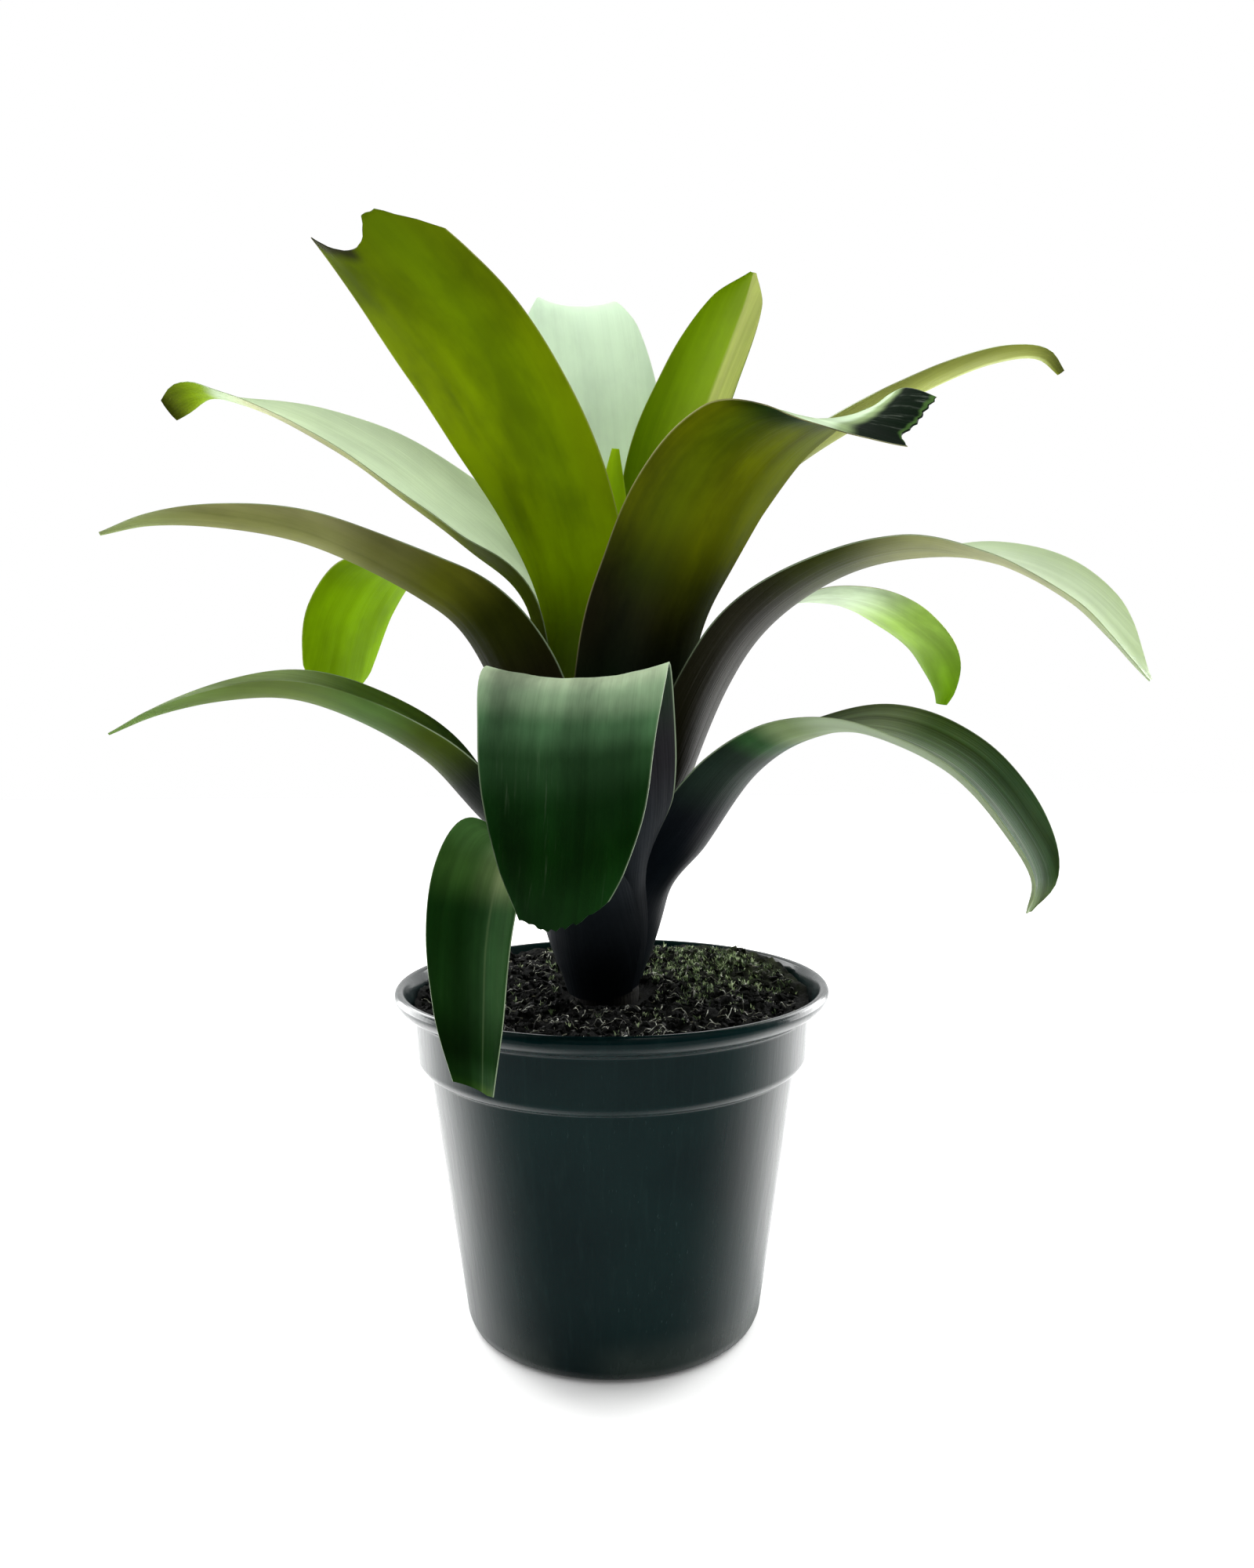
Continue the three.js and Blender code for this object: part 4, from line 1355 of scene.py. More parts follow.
    def _earth(self) -> bpy.types.Material:
        """Damp black mix with lighter specks and a green cast on the heap."""
        material, paint = new_paint("potting_mix")
        place = paint.place()
        grains = paint.noise(place, 900.0, 4.0, 0.7)
        clods = paint.noise(place, 160.0, 3.0)
        across, depth, _ = paint.split(place)
        base = paint.ramp(grains, EARTH_GRAINS)
        base = paint.mix(clods.between(0.45, 0.6) * 0.7, base, tone(2, 3, 3))
        heap = across.between(0.02, 0.08) * depth.between(-0.02, 0.05)
        base = paint.mix(heap * clods.between(0.35, 0.6) * 0.45, base, tone(62, 70, 44))
        normal = paint.bump(grains * 0.6 + clods * 0.4, 0.0016)
        rough = 0.62 + grains.between(0.3, 0.6) * 0.3
        paint.close(paint.surface({"Base Color": base, "Roughness": rough, "Normal": normal, "IOR": 1.16}))
        return material

    def _bark_finish(self) -> bpy.types.Material:
        """Brown to grey bark flecks."""
        material, paint = new_paint("bark_flecks")
        place = paint.place()
        pieces = paint.noise(place, 120.0, 1.0)
        grain = paint.noise(paint.stretch(place, (2000.0, 500.0, 500.0)), 1.0, 2.0)
        base = paint.ramp(pieces, ((0.4, tone(3, 3, 3)), (0.56, tone(14, 13, 10)), (0.7, tone(90, 88, 68))))
        base = paint.mix(grain.between(0.5, 0.7) * 0.4, base, tone(20, 18, 14))
        normal = paint.bump(grain, 0.0005)
        paint.close(paint.surface({"Base Color": base, "Roughness": 0.8, "Normal": normal}))
        return material

    @staticmethod
    def _strand_finish(name: str, cells: float, rough: float, stops: Stops) -> bpy.types.Material:
        """A finish for thin strands, of which only the colour varies.

        Args:
            name: The material's name.
            cells: Patches of colour in a metre.
            rough: Its roughness.
            stops: Its colours.

        Returns:
            The material.
        """
        material, paint = new_paint(name)
        base = paint.ramp(paint.noise(paint.place(), cells, 2.0), stops)
        paint.close(paint.surface({"Base Color": base, "Roughness": rough}))
        return material


EARTH_GRAINS = ((0.42, tone(1, 2, 1)), (0.56, tone(4, 6, 4)),
                (0.64, tone(16, 18, 13)), (0.72, tone(70, 72, 56)))
ROOT_FIBRE = ((0.4, tone(44, 44, 36)), (0.52, tone(120, 122, 106)), (0.64, tone(214, 216, 204)))
MOSS = ((0.35, tone(28, 42, 22)), (0.48, tone(84, 108, 62)), (0.62, tone(190, 206, 160)))
DARK_UNDERSIDE = BladeFinish(
    along=((0.0, INK), (0.3, STEEL), (0.45, PURPLE), (0.7, BOTTLE), (1.0, BOTTLE)), rough=0.42, ior=1.16,
    light_along=greys((0.0, 0.0), (1.0, 0.06)))
# The pale band from about 0.61 to 0.7 along is a painted sky reflection on the crest; the across multipliers
# paint shade near one edge.
HANGING_TOP = BladeFinish(
    along=((0.0, INK), (0.5, SAGE), (0.61, BLOOM_AND_SKY_SHEEN), (0.655, PALE_SAGE), (0.7, GREY_GREEN),
           (0.74, LEEK), (0.785, SPRUCE), (0.85, BOTTLE), (0.91, DEEP), (1.0, BOTTLE)),
    across=greys((0.0, 0.75), (0.12, 0.48), (0.45, 0.66), (0.75, 0.74), (1.0, 0.76)),
    rough=0.42, ior=1.1, streaks=0.1, blotches=0.35, scuffs=0.07, seed=1.0, margin_depth=0.35,
    light_along=greys((0.0, 0.0), (1.0, 0.02)))
# The pale stops round 0.54 to 0.61 along are a painted sheen on the crest; the across multipliers paint one
# half in shade and the other lit, and the fold line is a painted highlight along the crease.
FRONT_LOW_TOP = BladeFinish(
    along=((0.0, INK), (0.35, FERN), (0.54, PALE_SAGE), (0.61, SAGE), (0.7, SPRUCE), (0.84, SPRUCE),
           (0.94, BOTTLE), (0.98, SPRUCE), (1.0, FERN)),
    across=((0.0, (0.16, 0.32, 0.12)), (0.3, (0.16, 0.3, 0.12)), (0.5, (0.4, 0.5, 0.34)),
            (0.64, (1.0, 0.92, 0.9)), (0.85, (0.85, 0.8, 0.7)), (1.0, (0.4, 0.5, 0.3))),
    fold_highlight=0.6, rough=0.42, ior=1.08, blotches=0.25, scuffs=0.08, seed=1.5,
    light_along=greys((0.0, 0.0), (1.0, 0.04)), margin=SAGE, margin_depth=0.25)
DEEP_TOP = BladeFinish(
    along=((0.0, INK), (0.3, DEEP), (0.6, DEEP), (1.0, BOTTLE)), rough=0.4, streaks=0.14, seed=1.0,
    light_along=greys((0.0, 0.0), (1.0, 0.06)), margin=SAGE)
RIGHT_LOW_UNDERSIDE = BladeFinish(
    along=((0.0, INK), (0.3, INK), (0.4, SLATE), (0.44, SLATE), (0.48, SPRUCE), (0.53, SAGE),
           (0.6, PALE_SAGE), (1.0, SAGE)),
    rough=0.42, ior=1.08, seed=1.8,
    light_along=greys((0.0, 0.0), (0.38, 0.0), (0.47, 0.2), (0.54, 0.44), (1.0, 0.44)))
# The across multipliers paint one side lit and the other in shade, and the fold line is a painted highlight
# along the crease.
RIGHT_LOW_TOP = BladeFinish(
    along=((0.0, INK), (0.3, SLATE), (0.5, FERN), (0.62, SAGE), (0.7, FERN), (0.82, SPRUCE), (0.95, SPRUCE),
           (1.0, SAGE)),
    across=greys((0.0, 0.95), (0.2, 0.8), (0.4, 0.9), (0.6, 0.62), (1.0, 0.55)), fold_highlight=0.5,
    seed=7.0, rough=0.4, ior=1.08, streaks=0.3, light_along=greys((0.0, 0.0), (0.5, 0.05), (1.0, 0.08)))
# The across multipliers paint a lit band along one side and shade over the rest of the blade.
LEFT_UNDERSIDE = BladeFinish(
    along=((0.0, INK), (0.38, UMBER), (0.48, DARK_OLIVE), (0.56, MOSSY), (0.64, OLIVE_GREY),
           (0.72, WARM_GREY), (0.85, WARM_GREY), (1.0, PALE_SAGE)),
    across=((0.0, (1.0, 1.0, 1.0)), (0.25, (1.0, 1.0, 0.8)), (0.45, (0.7, 0.68, 0.5)),
            (0.8, (0.62, 0.6, 0.42)), (1.0, (0.7, 0.65, 0.55))),
    seed=2.0, blotches=0.2, ior=1.06, rough=0.5,
    light_along=greys((0.0, 0.0), (0.4, 0.0), (0.52, 0.14), (0.66, 0.38), (1.0, 0.38)))
# The across multipliers paint one side of the blade darker and greener, as shade.
LEFT_LOW_UNDERSIDE = BladeFinish(
    along=((0.0, INK), (0.36, STEEL), (0.46, MOSSY), (0.56, SAGE), (0.7, WARM_GREY), (1.0, PALE_SAGE)),
    across=((0.0, (1.0, 1.0, 1.0)), (0.35, (0.95, 1.0, 0.9)), (0.65, (0.3, 0.42, 0.2)),
            (1.0, (0.35, 0.5, 0.25))),
    seed=2.2, blotches=0.2, ior=1.08, rough=0.5,
    light_along=greys((0.0, 0.0), (0.4, 0.0), (0.56, 0.24), (0.7, 0.42), (1.0, 0.42)))
LEFT_LOW_TOP = BladeFinish(
    along=((0.0, INK), (0.34, DARK_OLIVE), (0.46, FERN), (0.6, FERN), (0.75, SAGE), (1.0, PALE_SAGE)),
    seed=7.3, rough=0.45, ior=1.08, streaks=0.2, margin=PALE_SAGE,
    light_along=greys((0.0, 0.0), (0.5, 0.14), (1.0, 0.24)))
RIGHT_UNDERSIDE = BladeFinish(
    along=((0.0, INK), (0.3, UMBER), (0.47, UMBER), (0.58, DARK_OLIVE), (0.7, OLIVE_GREY), (0.8, WARM_GREY),
           (1.0, PALE_SAGE)), seed=2.5, blotches=0.18,
    ior=1.12, rough=0.42, light_along=greys((0.0, 0.0), (0.5, 0.0), (0.7, 0.12), (1.0, 0.3)))
# The across multipliers paint one half of the blade in shade.
HIGH_UNDERSIDE = BladeFinish(
    along=((0.0, INK), (0.3, DARK_OLIVE), (0.5, MOSSY), (0.7, KHAKI), (0.94, KHAKI), (1.0, MOSSY)),
    across=((0.0, (0.3, 0.32, 0.1)), (0.5, (0.4, 0.42, 0.18)), (0.7, (0.85, 0.88, 0.75)),
            (1.0, (1.0, 1.0, 1.0))),
    seed=2.7, ior=1.06, light=KHAKI_LIGHT, streaks=0.1, margin=MIST,
    light_along=greys((0.0, 0.0), (0.3, 0.06), (0.6, 0.08), (1.0, 0.08)))
STRIP_UNDERSIDE = BladeFinish(
    along=((0.0, INK), (0.3, DARK_OLIVE), (0.42, OLIVE), (0.56, MOSSY), (0.7, OLIVE_GREY), (0.84, WARM_GREY),
           (0.91, PALE_SAGE), (0.94, LIME), (1.0, OLIVE)),
    seed=2.7, ior=1.06, light=KHAKI_LIGHT, dry_and_shaded_tip=0.02, dry_and_shade_colour=DARK_OLIVE, streaks=0.12,
    light_along=greys((0.0, 0.0), (0.3, 0.1), (0.6, 0.2), (0.92, 0.16), (0.96, 0.04), (1.0, 0.04)))
# The across multipliers paint shade near one edge and light towards the other, with some tint as well.
OLIVE_UNDERSIDE = BladeFinish(
    along=((0.0, INK), (0.34, NEAR_BLACK), (0.46, UMBER), (0.54, DARK_OLIVE), (0.62, OLIVE), (0.76, OLIVE),
           (0.84, DEEP), (0.89, NEAR_BLACK), (1.0, NEAR_BLACK)),
    across=((0.0, (0.9, 0.8, 0.6)), (0.25, (0.6, 0.75, 0.7)), (0.6, (0.95, 0.9, 0.8)),
            (0.85, (1.0, 1.0, 1.0)), (1.0, (1.0, 0.95, 0.8))),
    seed=3.0, blotches=0.4, streaks=0.1, light_patches=0.3,
    ior=1.1, rough=0.45, margin=STRAW, margin_depth=0.35, light=OLIVE_LIGHT,
    light_along=greys((0.0, 0.0), (0.38, 0.02), (0.5, 0.28), (0.57, 0.7), (0.68, 0.6), (0.76, 0.36),
                      (0.82, 0.1), (0.88, 0.0), (1.0, 0.0)),
    light_across=greys((0.0, 0.3), (0.35, 0.45), (0.7, 1.0), (1.0, 1.0)))
# The dark tip on one side is painted shade standing for the shaded inside of the curled tip; the bright stop
# near a third of the way along is partly painted light shining through the blade.
GLOWING_UNDERSIDE = BladeFinish(
    along=((0.0, INK), (0.2, DARK_OLIVE), (0.34, FRESH), (0.48, MOSS_GREEN), (0.75, MOSS_GREEN),
           (1.0, OLIVE)),
    across=((0.0, (1.0, 1.0, 1.0)), (0.14, (0.95, 0.95, 1.0)), (0.3, (0.85, 0.9, 1.0)),
            (0.7, (0.7, 0.86, 1.0)), (1.0, (0.85, 0.85, 1.0))),
    seed=4.0, margin=STRAW, blotches=0.5, ior=1.08, rough=0.5, light_patches=0.24, streaks=0.08,
    dry_and_shaded_tip=0.024, dry_and_shade_colour=UMBER, shaded_tip_across=greys((0.0, 1.0), (0.3, 1.0), (0.42, 0.0), (1.0, 0.0)),
    light_along=greys((0.0, 0.0), (0.18, 0.25), (0.3, 0.9), (0.5, 0.9), (0.6, 0.62), (0.8, 0.5), (1.0, 0.36)))
GLOWING_TOP = BladeFinish(
    along=((0.0, INK), (0.2, OLIVE), (0.4, LIME), (1.0, LIME)),
    seed=4.5, margin=STRAW, blotches=0.2, streaks=0.06, ior=1.12, light=LIME_LIGHT,
    light_along=greys((0.0, 0.0), (0.18, 0.5), (0.28, 1.0), (0.5, 0.9), (0.6, 0.46), (1.0, 0.32)))
LIME_FACE = BladeFinish(
    along=((0.0, INK), (0.3, OLIVE), (0.5, LEAF_GREEN), (1.0, LEAF_GREEN)),
    seed=5.0, margin=STRAW, blotches=0.25, streaks=0.06, ior=1.08, light=LIME_LIGHT,
    light_along=greys((0.0, 0.0), (0.3, 0.25), (0.5, 0.3), (1.0, 0.3)))
YOUNG_FACE = BladeFinish(
    along=((0.0, INK), (0.5, OLIVE), (0.85, FRESH), (1.0, FRESH)), seed=5.2, margin=STRAW,
    ior=1.12, light=YOUNG_LIGHT, light_along=greys((0.0, 0.0), (0.4, 0.3), (0.8, 0.8), (1.0, 0.8)))
FADING_FACE = BladeFinish(
    along=((0.0, INK), (0.3, OLIVE), (0.5, PALE_SAGE), (0.7, PALE_SAGE), (0.84, PEAR), (1.0, LEAF_GREEN)),
    seed=5.4, margin=STRAW, blotches=0.3, ior=1.12, light=GREEN_LIGHT,
    light_along=greys((0.0, 0.0), (0.3, 0.1), (0.73, 0.08), (0.84, 0.3), (1.0, 0.4)))
# The fold line is a painted highlight along the crease.
PALE_LIME_TOP = BladeFinish(
    along=((0.0, INK), (0.3, OLIVE), (0.5, KHAKI), (1.0, KHAKI)), seed=5.5, margin=STRAW, streaks=0.12,
    across=((0.0, (1.0, 1.0, 0.6)), (0.36, (1.0, 1.0, 0.6)), (0.42, (0.5, 0.65, 0.06)),
            (1.0, (0.36, 0.55, 0.005))),
    fold_highlight=0.3, ior=1.1, light=LIME_LIGHT, light_along=greys((0.0, 0.0), (0.3, 0.3), (0.5, 0.46), (1.0, 0.46)),
    light_across=greys((0.0, 0.6), (0.36, 0.5), (0.43, 1.0), (1.0, 1.0)))
# Pale waxy bloom on upper faces, its paleness partly painted sky reflection.
BLOOM_AND_SHEEN_TOP = BladeFinish(
    along=((0.0, SLATE), (0.3, SAGE), (0.45, BLOOM_AND_SKY_SHEEN), (1.0, BLOOM_AND_SKY_SHEEN)), seed=6.0, margin=MIST, rough=0.42,
    streaks=0.05, light=PALE_LIGHT, light_along=greys((0.0, 0.0), (0.3, 0.2), (0.5, 0.36), (1.0, 0.36)),
    ior=1.12, blotches=0.1, light_patches=0.08)
# Pale mint bloom on the upper face, its paleness partly painted sky reflection.
PALE_TOP = BladeFinish(
    along=((0.0, SLATE), (0.3, SAGE), (0.45, MINT), (0.8, MINT), (1.0, BLOOM_AND_SKY_SHEEN)),
    seed=6.5, margin=MIST, rough=0.42, streaks=0.04, scuffs=0.12,
    light=MINT_LIGHT, blotches=0.14, light_patches=0.12,
    light_along=greys((0.0, 0.0), (0.3, 0.3), (0.5, 0.44), (1.0, 0.44)))
PALE_UNDERSIDE = BladeFinish(
    along=((0.0, SLATE), (0.3, OLIVE_GREY), (0.5, SAGE), (1.0, SAGE)), seed=6.8, ior=1.1,
    light=MINT_LIGHT, light_along=greys((0.0, 0.0), (0.3, 0.15), (1.0, 0.15)))
SAGE_TOP = BladeFinish(
    along=((0.0, INK), (0.3, SLATE), (0.42, SPRUCE), (0.6, FERN), (0.75, SAGE), (1.0, SAGE)), seed=7.0,
    rough=0.4, streaks=0.22, light_along=greys((0.0, 0.0), (0.5, 0.1), (1.0, 0.24)), margin=PALE_SAGE)
# The pale band from 0.82 to 0.925 along is a painted sheen on the twisted end, and its pale strokes (scuffs)
# are partly painted sheen streaks.
OLIVE_TOP = BladeFinish(
    along=((0.0, INK), (0.3, BOTTLE), (0.45, OLIVE), (0.7, OLIVE), (0.82, SAGE), (0.905, BLOOM_AND_SKY_SHEEN),
           (0.925, SAGE), (0.945, NEAR_BLACK), (1.0, NEAR_BLACK)),
    seed=8.0, ior=1.06, rough=0.6, scuffs=0.25, dry_and_shaded_tip=0.006, dry_and_shade_colour=FERN, margin=MIST, margin_depth=0.2,
    light_along=greys((0.0, 0.0), (0.35, 0.1), (0.5, 0.5), (0.6, 0.75), (0.76, 0.6), (0.85, 0.1), (0.92, 0.0),
                      (1.0, 0.0)))


LEAVES = (
    LeafForm(
        name="leaf_front_left_low", layer=0, heading=-117, depart=212,
        path=((-26, -52, 246), (-38, -85, 270), (-47, -108, 275), (-53, -124, 262), (-57, -133, 238),
              (-58, -137, 205), (-57, -141, 168)),
        half=((0.2, 38), (0.42, 26), (0.6, 27), (0.85, 20), (1, 10)),
        cup=((0.2, 62), (0.45, 45), (0.6, 50), (1, 40)),
        twist=((0, 0), (0.5, 0), (1, -8)),
        torn=(0.024, 0.016, 0.008, 0, 0), lower=DARK_UNDERSIDE, upper=FRONT_LOW_TOP),
    LeafForm(
        name="leaf_right_low", layer=2, heading=-27, depart=224,
        path=((50, -26, 267), (73, -41, 303), (97, -58, 321), (127, -79, 326), (163, -102, 309),
              (185, -115, 281), (194, -121, 259), (191, -119, 244)),
        half=((0.2, 34), (0.31, 41), (0.6, 35), (0.85, 33), (0.96, 19), (1, 3)),
        cup=((0.2, 66), (0.4, 44), (0.7, 30), (1, 30)),
        twist=((0, 0), (0.5, 0), (0.7, 10), (1, 5)),
        lower=RIGHT_LOW_UNDERSIDE, upper=RIGHT_LOW_TOP),
    LeafForm(
        name="leaf_front_hanging", layer=1, heading=-97, depart=218,
        path=((-6, -70, 292), (-9, -105, 330), (-12, -135, 350), (-14, -152, 343), (-16, -162, 322),
              (-17, -166, 295), (-19, -168, 268), (-22, -168, 243)),
        half=((0.12, 28), (0.22, 29), (0.36, 40), (0.66, 41), (0.74, 38), (0.82, 35), (0.91, 27), (1, 12)),
        cup=((0.2, 60), (0.45, 27), (0.6, 22), (0.8, 12), (1, 16)),
        torn=(0.014, 0.01, 0.004, 0.006, 0.012, 0.022, 0.05),
        lower=DARK_UNDERSIDE, upper=HANGING_TOP, ragged=0.006),
    LeafForm(
        name="leaf_back_low", layer=1, heading=82, depart=222,
        path=((2, 66, 286), (4, 96, 326), (4, 124, 342), (2, 150, 336), (-2, 170, 312), (-6, 180, 282),
              (-9, 184, 262)),
        half=((0.2, 40), (0.45, 34), (0.7, 32), (0.9, 22), (1, 3)),
        cup=((0.2, 60), (0.45, 35), (0.7, 20), (1, 20)),
        twist=((0, 0), (1, 6)),
        lower=RIGHT_UNDERSIDE, upper=DEEP_TOP),
    LeafForm(
        name="leaf_left_low", layer=3, heading=186, depart=238,
        path=((-75, -8, 283), (-100, -10, 311), (-135, -14, 333), (-170, -18, 345), (-205, -22, 344),
              (-240, -26, 336), (-264, -29, 326)),
        half=((0.2, 40), (0.4, 40), (0.6, 37), (0.85, 19), (1, 2)),
        cup=((0.2, 62), (0.45, 55), (0.7, 45), (1, 40)),
        twist=((0, 0), (0.3, 6), (0.5, -3), (0.8, -8), (1, -6)),
        lower=LEFT_LOW_UNDERSIDE, upper=LEFT_LOW_TOP),
    LeafForm(
        name="leaf_right_mid", layer=4, heading=-14, depart=256,
        path=((62, -15, 349), (86, -21, 383), (125, -31, 408), (162, -41, 415), (200, -53, 409),
              (232, -65, 390), (264, -76, 350)),
        half=((0.2, 44), (0.42, 45), (0.6, 35), (0.78, 36), (0.9, 33), (1, 3)),
        cup=((0.2, 55), (0.45, 45), (0.7, 22), (1, 25)),
        twist=((0, 0), (0.66, 0), (0.76, 12), (0.86, 22), (1, 24)),
        lower=RIGHT_UNDERSIDE, upper=BLOOM_AND_SHEEN_TOP),
    LeafForm(
        name="leaf_back_right_low", layer=3, heading=34, depart=242,
        path=((58, 46, 346), (84, 63, 387), (112, 79, 402), (139, 94, 404), (162, 106, 400),
              (186, 118, 389), (208, 128, 372), (218, 134, 350), (218, 136, 340)),
        half=((0.2, 26), (0.42, 18), (0.58, 23), (0.8, 29), (0.93, 20), (1, 5)),
        cup=((0.2, 55), (0.45, 35), (0.7, 30), (1, 35)),
        lower=FADING_FACE, upper=FADING_FACE),
    LeafForm(
        name="leaf_left_mid", layer=5, heading=195, depart=266,
        path=((-54, -14, 334), (-77, -20, 380), (-99, -27, 398), (-152, -43, 424), (-194, -56, 431),
              (-226, -65, 430), (-247, -71, 424)),
        half=((0.2, 41), (0.27, 43), (0.38, 48), (0.6, 33), (0.85, 16), (1, 2)),
        cup=((0.2, 70), (0.45, 60), (0.7, 40), (1, 40)),
        twist=((0, 0), (0.24, 0), (0.42, 8), (1, 10)),
        lower=LEFT_UNDERSIDE, upper=SAGE_TOP),
    LeafForm(
        name="leaf_back_left_low", layer=4, heading=143, depart=254,
        path=((-53, 42, 344), (-85, 66, 396), (-118, 93, 424), (-146, 112, 424), (-166, 122, 401),
              (-176, 127, 371), (-181, 129, 347)),
        half=((0.2, 36), (0.45, 25), (0.65, 32), (0.85, 36), (0.95, 30), (1, 13)),
        cup=((0.2, 55), (0.45, 35), (0.7, 20), (1, 20)),
        lower=LIME_FACE, upper=LIME_FACE),
    LeafForm(
        name="leaf_front_right", layer=6, heading=-58, depart=272,
        path=((25, -32, 375), (37, -40, 408), (52, -52, 440), (69, -68, 461), (88, -90, 470),
              (107, -116, 466), (121, -138, 461), (134, -154, 454)),
        half=((0.2, 40), (0.45, 41), (0.6, 43), (0.75, 43), (0.85, 31), (0.92, 19), (1, 12)),
        cup=((0.2, 58), (0.5, 35), (0.7, 20), (1, 20)),
        twist=((0, 0), (0.74, 0), (0.83, 5), (0.89, 21), (0.945, 45), (1, 64)),
        torn=(0, 0.02, 0.012, 0.01, 0), lower=OLIVE_UNDERSIDE, upper=OLIVE_TOP, ragged=0.004),
    LeafForm(
        name="leaf_right_high", layer=7, heading=17, depart=284,
        path=((42, 13, 396), (66, 21, 436), (105, 33, 475), (168, 52, 515), (234, 69, 546),
              (262, 75, 549), (274, 79, 540)),
        half=((0.2, 38), (0.5, 29), (0.7, 22), (0.9, 11), (1, 3)),
        cup=((0.2, 55), (0.5, 40), (0.7, 40), (1, 30)),
        twist=((0, 0), (0.5, -10), (1, -20)),
        lower=HIGH_UNDERSIDE, upper=BLOOM_AND_SHEEN_TOP),
    LeafForm(
        name="leaf_left_high", layer=6, heading=166, depart=285,
        path=((-43, 11, 394), (-70, 18, 426), (-105, 26, 455), (-139, 35, 481), (-184, 47, 506),
              (-218, 56, 519), (-243, 63, 526), (-255, 66, 524), (-265, 68, 518)),
        half=((0.2, 36), (0.3, 38), (0.38, 43), (0.52, 44), (0.7, 35), (0.85, 17), (0.92, 10),
              (0.97, 10), (1, 7)),
        cup=((0.2, 55), (0.5, 40), (0.7, 40), (1, 30)),
        twist=((0, 0), (0.38, 0), (0.52, -16), (0.8, -20), (0.92, 0), (1, 65)),
        lower=STRIP_UNDERSIDE, upper=BLOOM_AND_SHEEN_TOP),
    LeafForm(
        name="leaf_front_left_tall", layer=7, heading=-140, depart=292,
        path=((-22, -16, 382), (-34, -30, 440), (-62, -60, 499), (-88, -82, 532), (-118, -109, 560)),
        half=((0.2, 31), (0.4, 33), (0.56, 42), (0.8, 38), (1, 24)),
        cup=((0.2, 58), (0.5, 30), (0.8, 20), (1, 30)),
        twist=((0, 0), (0.45, 2), (0.7, 22), (1, 30)),
        torn=(0, 0.018, 0.032, 0.038, 0.033, 0.016, 0.02, 0.048, 0.085),
        lower=GLOWING_UNDERSIDE, upper=GLOWING_TOP, ragged=0.003),
    LeafForm(
        name="leaf_back_right_tall", layer=9, heading=40, depart=306,
        path=((27, 20, 400), (39, 29, 478), (53, 41, 518), (69, 55, 558), (86, 69, 597)),
        half=((0.2, 29), (0.4, 28), (0.54, 31), (0.8, 26), (0.93, 17), (1, 2)),
        cup=((0.2, 60), (0.5, 55), (0.8, 50), (1, 40)),
        twist=((0, 0), (0.5, 0), (0.75, 32), (1, 35)),
        lower=LIME_FACE, upper=PALE_LIME_TOP),
    LeafForm(
        name="leaf_back_tall", layer=8, heading=97, depart=300,
        path=((-5, 40, 400), (-9, 49, 473), (-14, 64, 534), (-20, 95, 585), (-22, 130, 591),
              (-24, 168, 573)),
        half=((0.2, 32), (0.38, 34), (0.52, 46), (0.66, 42), (0.77, 35), (0.83, 26), (0.9, 20), (1, 5)),
        cup=((0.2, 60), (0.5, 30), (0.8, 20), (1, 20)),
        lower=PALE_UNDERSIDE, upper=PALE_TOP),
    LeafForm(
        name="leaf_young_front", layer=9, heading=-100, depart=320,
        path=((1, -18, 370), (5, -14, 400), (11, -8, 436)),
        half=((0.3, 24), (0.6, 20), (0.85, 15), (1, 6)),
        cup=((0.3, 60), (0.6, 60), (1, 50)),
        lower=YOUNG_FACE, upper=YOUNG_FACE),
    LeafForm(
        name="leaf_young_back", layer=10, heading=100, depart=325,
        path=((-4, 16, 380), (0, 12, 430), (4, 4, 480)),
        half=((0.3, 22), (0.6, 18), (0.85, 11), (1, 2)),
        cup=((0.3, 60), (0.6, 65), (1, 50)),
        lower=YOUNG_FACE, upper=YOUNG_FACE),
)


@dataclass
class Rosette:
    """All the leaves of the plant round its stem."""

    stem: Stem
    funnel: Funnel = field(default_factory=Funnel)

    def build(self) -> list[bpy.types.Object]:
        """Builds each leaf in turn.

        Returns:
            The leaves.
        """
        return [Leaf(form, self.funnel, self.stem).build() for form in LEAVES]


@dataclass(frozen=True)
class Lamp:
    """One soft square lamp that looks at the plant: place and side in millimetres, power in watts."""

    name: str
    place: Colour
    size: float
    power: float
    target: Colour = (0.0, 0.0, 300.0)

    def hang(self) -> None:
        """Hangs the lamp and turns it to its target."""
        data = bpy.data.lights.new(self.name, "AREA")
        data.size = self.size * MM
        data.energy = self.power
        lamp = bpy.data.objects.new(self.name, data)
        lamp.location = Vector(self.place) * MM
        aim = Vector(self.target) * MM - lamp.location
        lamp.rotation_euler = aim.to_track_quat("-Z", "Y").to_euler()
        bpy.context.scene.collection.objects.link(lamp)


LAMPS = (
    Lamp("lamp_back_left", (-900, 900, 1100), 700, 14.0),
    Lamp("lamp_back_right", (900, 800, 900), 700, 10.0),
    Lamp("lamp_left", (-1150, 600, 250), 1000, 26.0),
    Lamp("lamp_right", (1150, 600, 250), 1000, 26.0),
    Lamp("lamp_top", (0, -100, 1500), 900, 10.0),
)


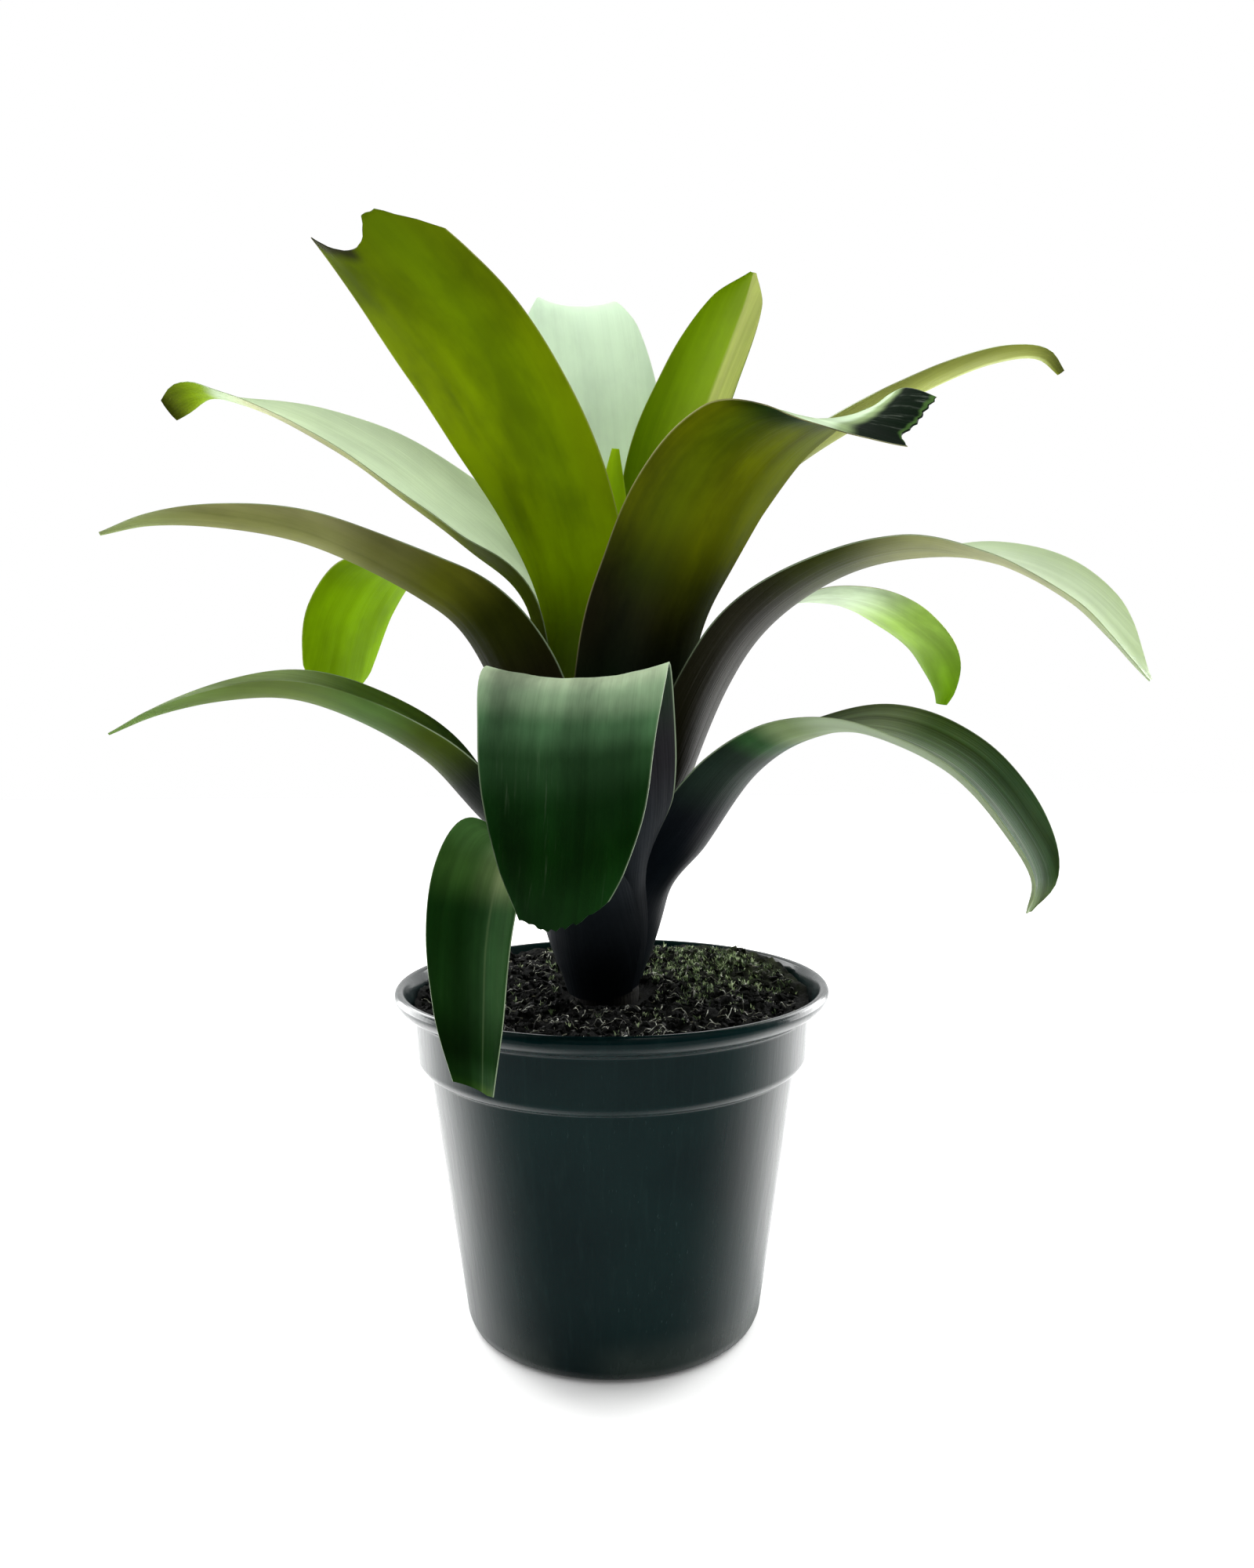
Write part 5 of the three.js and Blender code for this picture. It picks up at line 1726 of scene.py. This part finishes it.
@dataclass
class Studio:
    """Camera, floor and soft light: bright behind and above, dim in front."""

    camera_place: Colour = (9.0, -650.0, 336.0)
    pitch: float = 3.5
    roll: float = -0.34
    focal_share: float = 0.75
    sensor: float = 36.0
    floor_half: float = 4000.0
    floor_drop: float = 0.2
    front_light: float = 0.1
    back_light: float = 1.35
    top_light: float = 0.55
    floor_glow: float = 0.06

    def build(self) -> None:
        """Sets the scene round the object."""
        self._camera()
        self._floor()
        self._sky()
        for lamp in LAMPS:
            lamp.hang()
        view = bpy.context.scene.view_settings
        view.view_transform = "Standard"
        view.look = "None"

    def _camera(self) -> None:
        """Places the camera."""
        data = bpy.data.cameras.new("camera")
        data.sensor_fit = "VERTICAL"
        data.sensor_height = self.sensor
        data.lens = self.sensor * self.focal_share
        data.clip_end = 100.0
        camera = bpy.data.objects.new("camera", data)
        camera.location = Vector(self.camera_place) * MM
        upright = Euler((math.radians(90 - self.pitch), 0.0, 0.0)).to_matrix()
        turned = upright @ Euler((0.0, 0.0, math.radians(self.roll))).to_matrix()
        camera.rotation_euler = turned.to_euler()
        bpy.context.scene.collection.objects.link(camera)
        bpy.context.scene.camera = camera

    def _floor(self) -> None:
        """Lays a plain pale floor."""
        half = self.floor_half
        shape = Shape()
        corners = np.array([(-half, -half, 0), (half, -half, 0), (half, half, 0), (-half, half, 0)])
        shape.add(corners, [(0, 1, 2, 3)])
        material, paint = new_paint("studio_floor")
        grain = paint.noise(paint.place(), 6.0, 2.0)
        base = paint.ramp(grain, ((0.3, (0.92, 0.92, 0.92)), (0.7, (0.94, 0.94, 0.94))))
        paint.close(paint.surface({
            "Base Color": base, "Roughness": 0.9, "Specular IOR Level": 0.1,
            "Emission Color": (1.0, 1.0, 1.0), "Emission Strength": self.floor_glow,
        }))
        floor = shape.build("studio_floor", [material])
        floor.location.z = -self.floor_drop * MM

    def _sky(self) -> None:
        """Fills the room with light that fades towards the viewer, and shows white to the camera."""
        world = bpy.data.worlds.new("studio")
        world.use_nodes = True
        bpy.context.scene.world = world
        paint = Paint(world.node_tree)
        place = paint.node("ShaderNodeTexCoord", out="Generated")
        _, depth, height = paint.split(place)
        back = depth.between(-0.75, 0.55) * (self.back_light - self.front_light) + self.front_light
        strength = back + height.between(0.1, 0.9) * self.top_light
        room = paint.node("ShaderNodeBackground", None, {"Color": (1.0, 1.0, 1.0), "Strength": strength})
        white = paint.node("ShaderNodeBackground", None, {"Color": (1.0, 1.0, 1.0), "Strength": 1.0})
        seen = paint.node("ShaderNodeLightPath", out="Is Camera Ray")
        shown = paint.node("ShaderNodeMixShader", None, {0: seen, 1: room, 2: white})
        paint.close(shown, "ShaderNodeOutputWorld")


def main() -> None:
    """Builds the studio, the pot with its filling, and the plant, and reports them."""
    logging.basicConfig(level=logging.INFO, format="%(name)s: %(message)s")
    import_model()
    Studio().build()
    pot = Pot()
    stem = Stem()
    pieces = [pot.build(), *Soil(pot).build(), stem.build(), *Rosette(stem).build()]
    for piece in pieces:
        log.info("%s: %d faces", piece.name, len(piece.data.polygons))


if __name__ == "__main__":
    main()
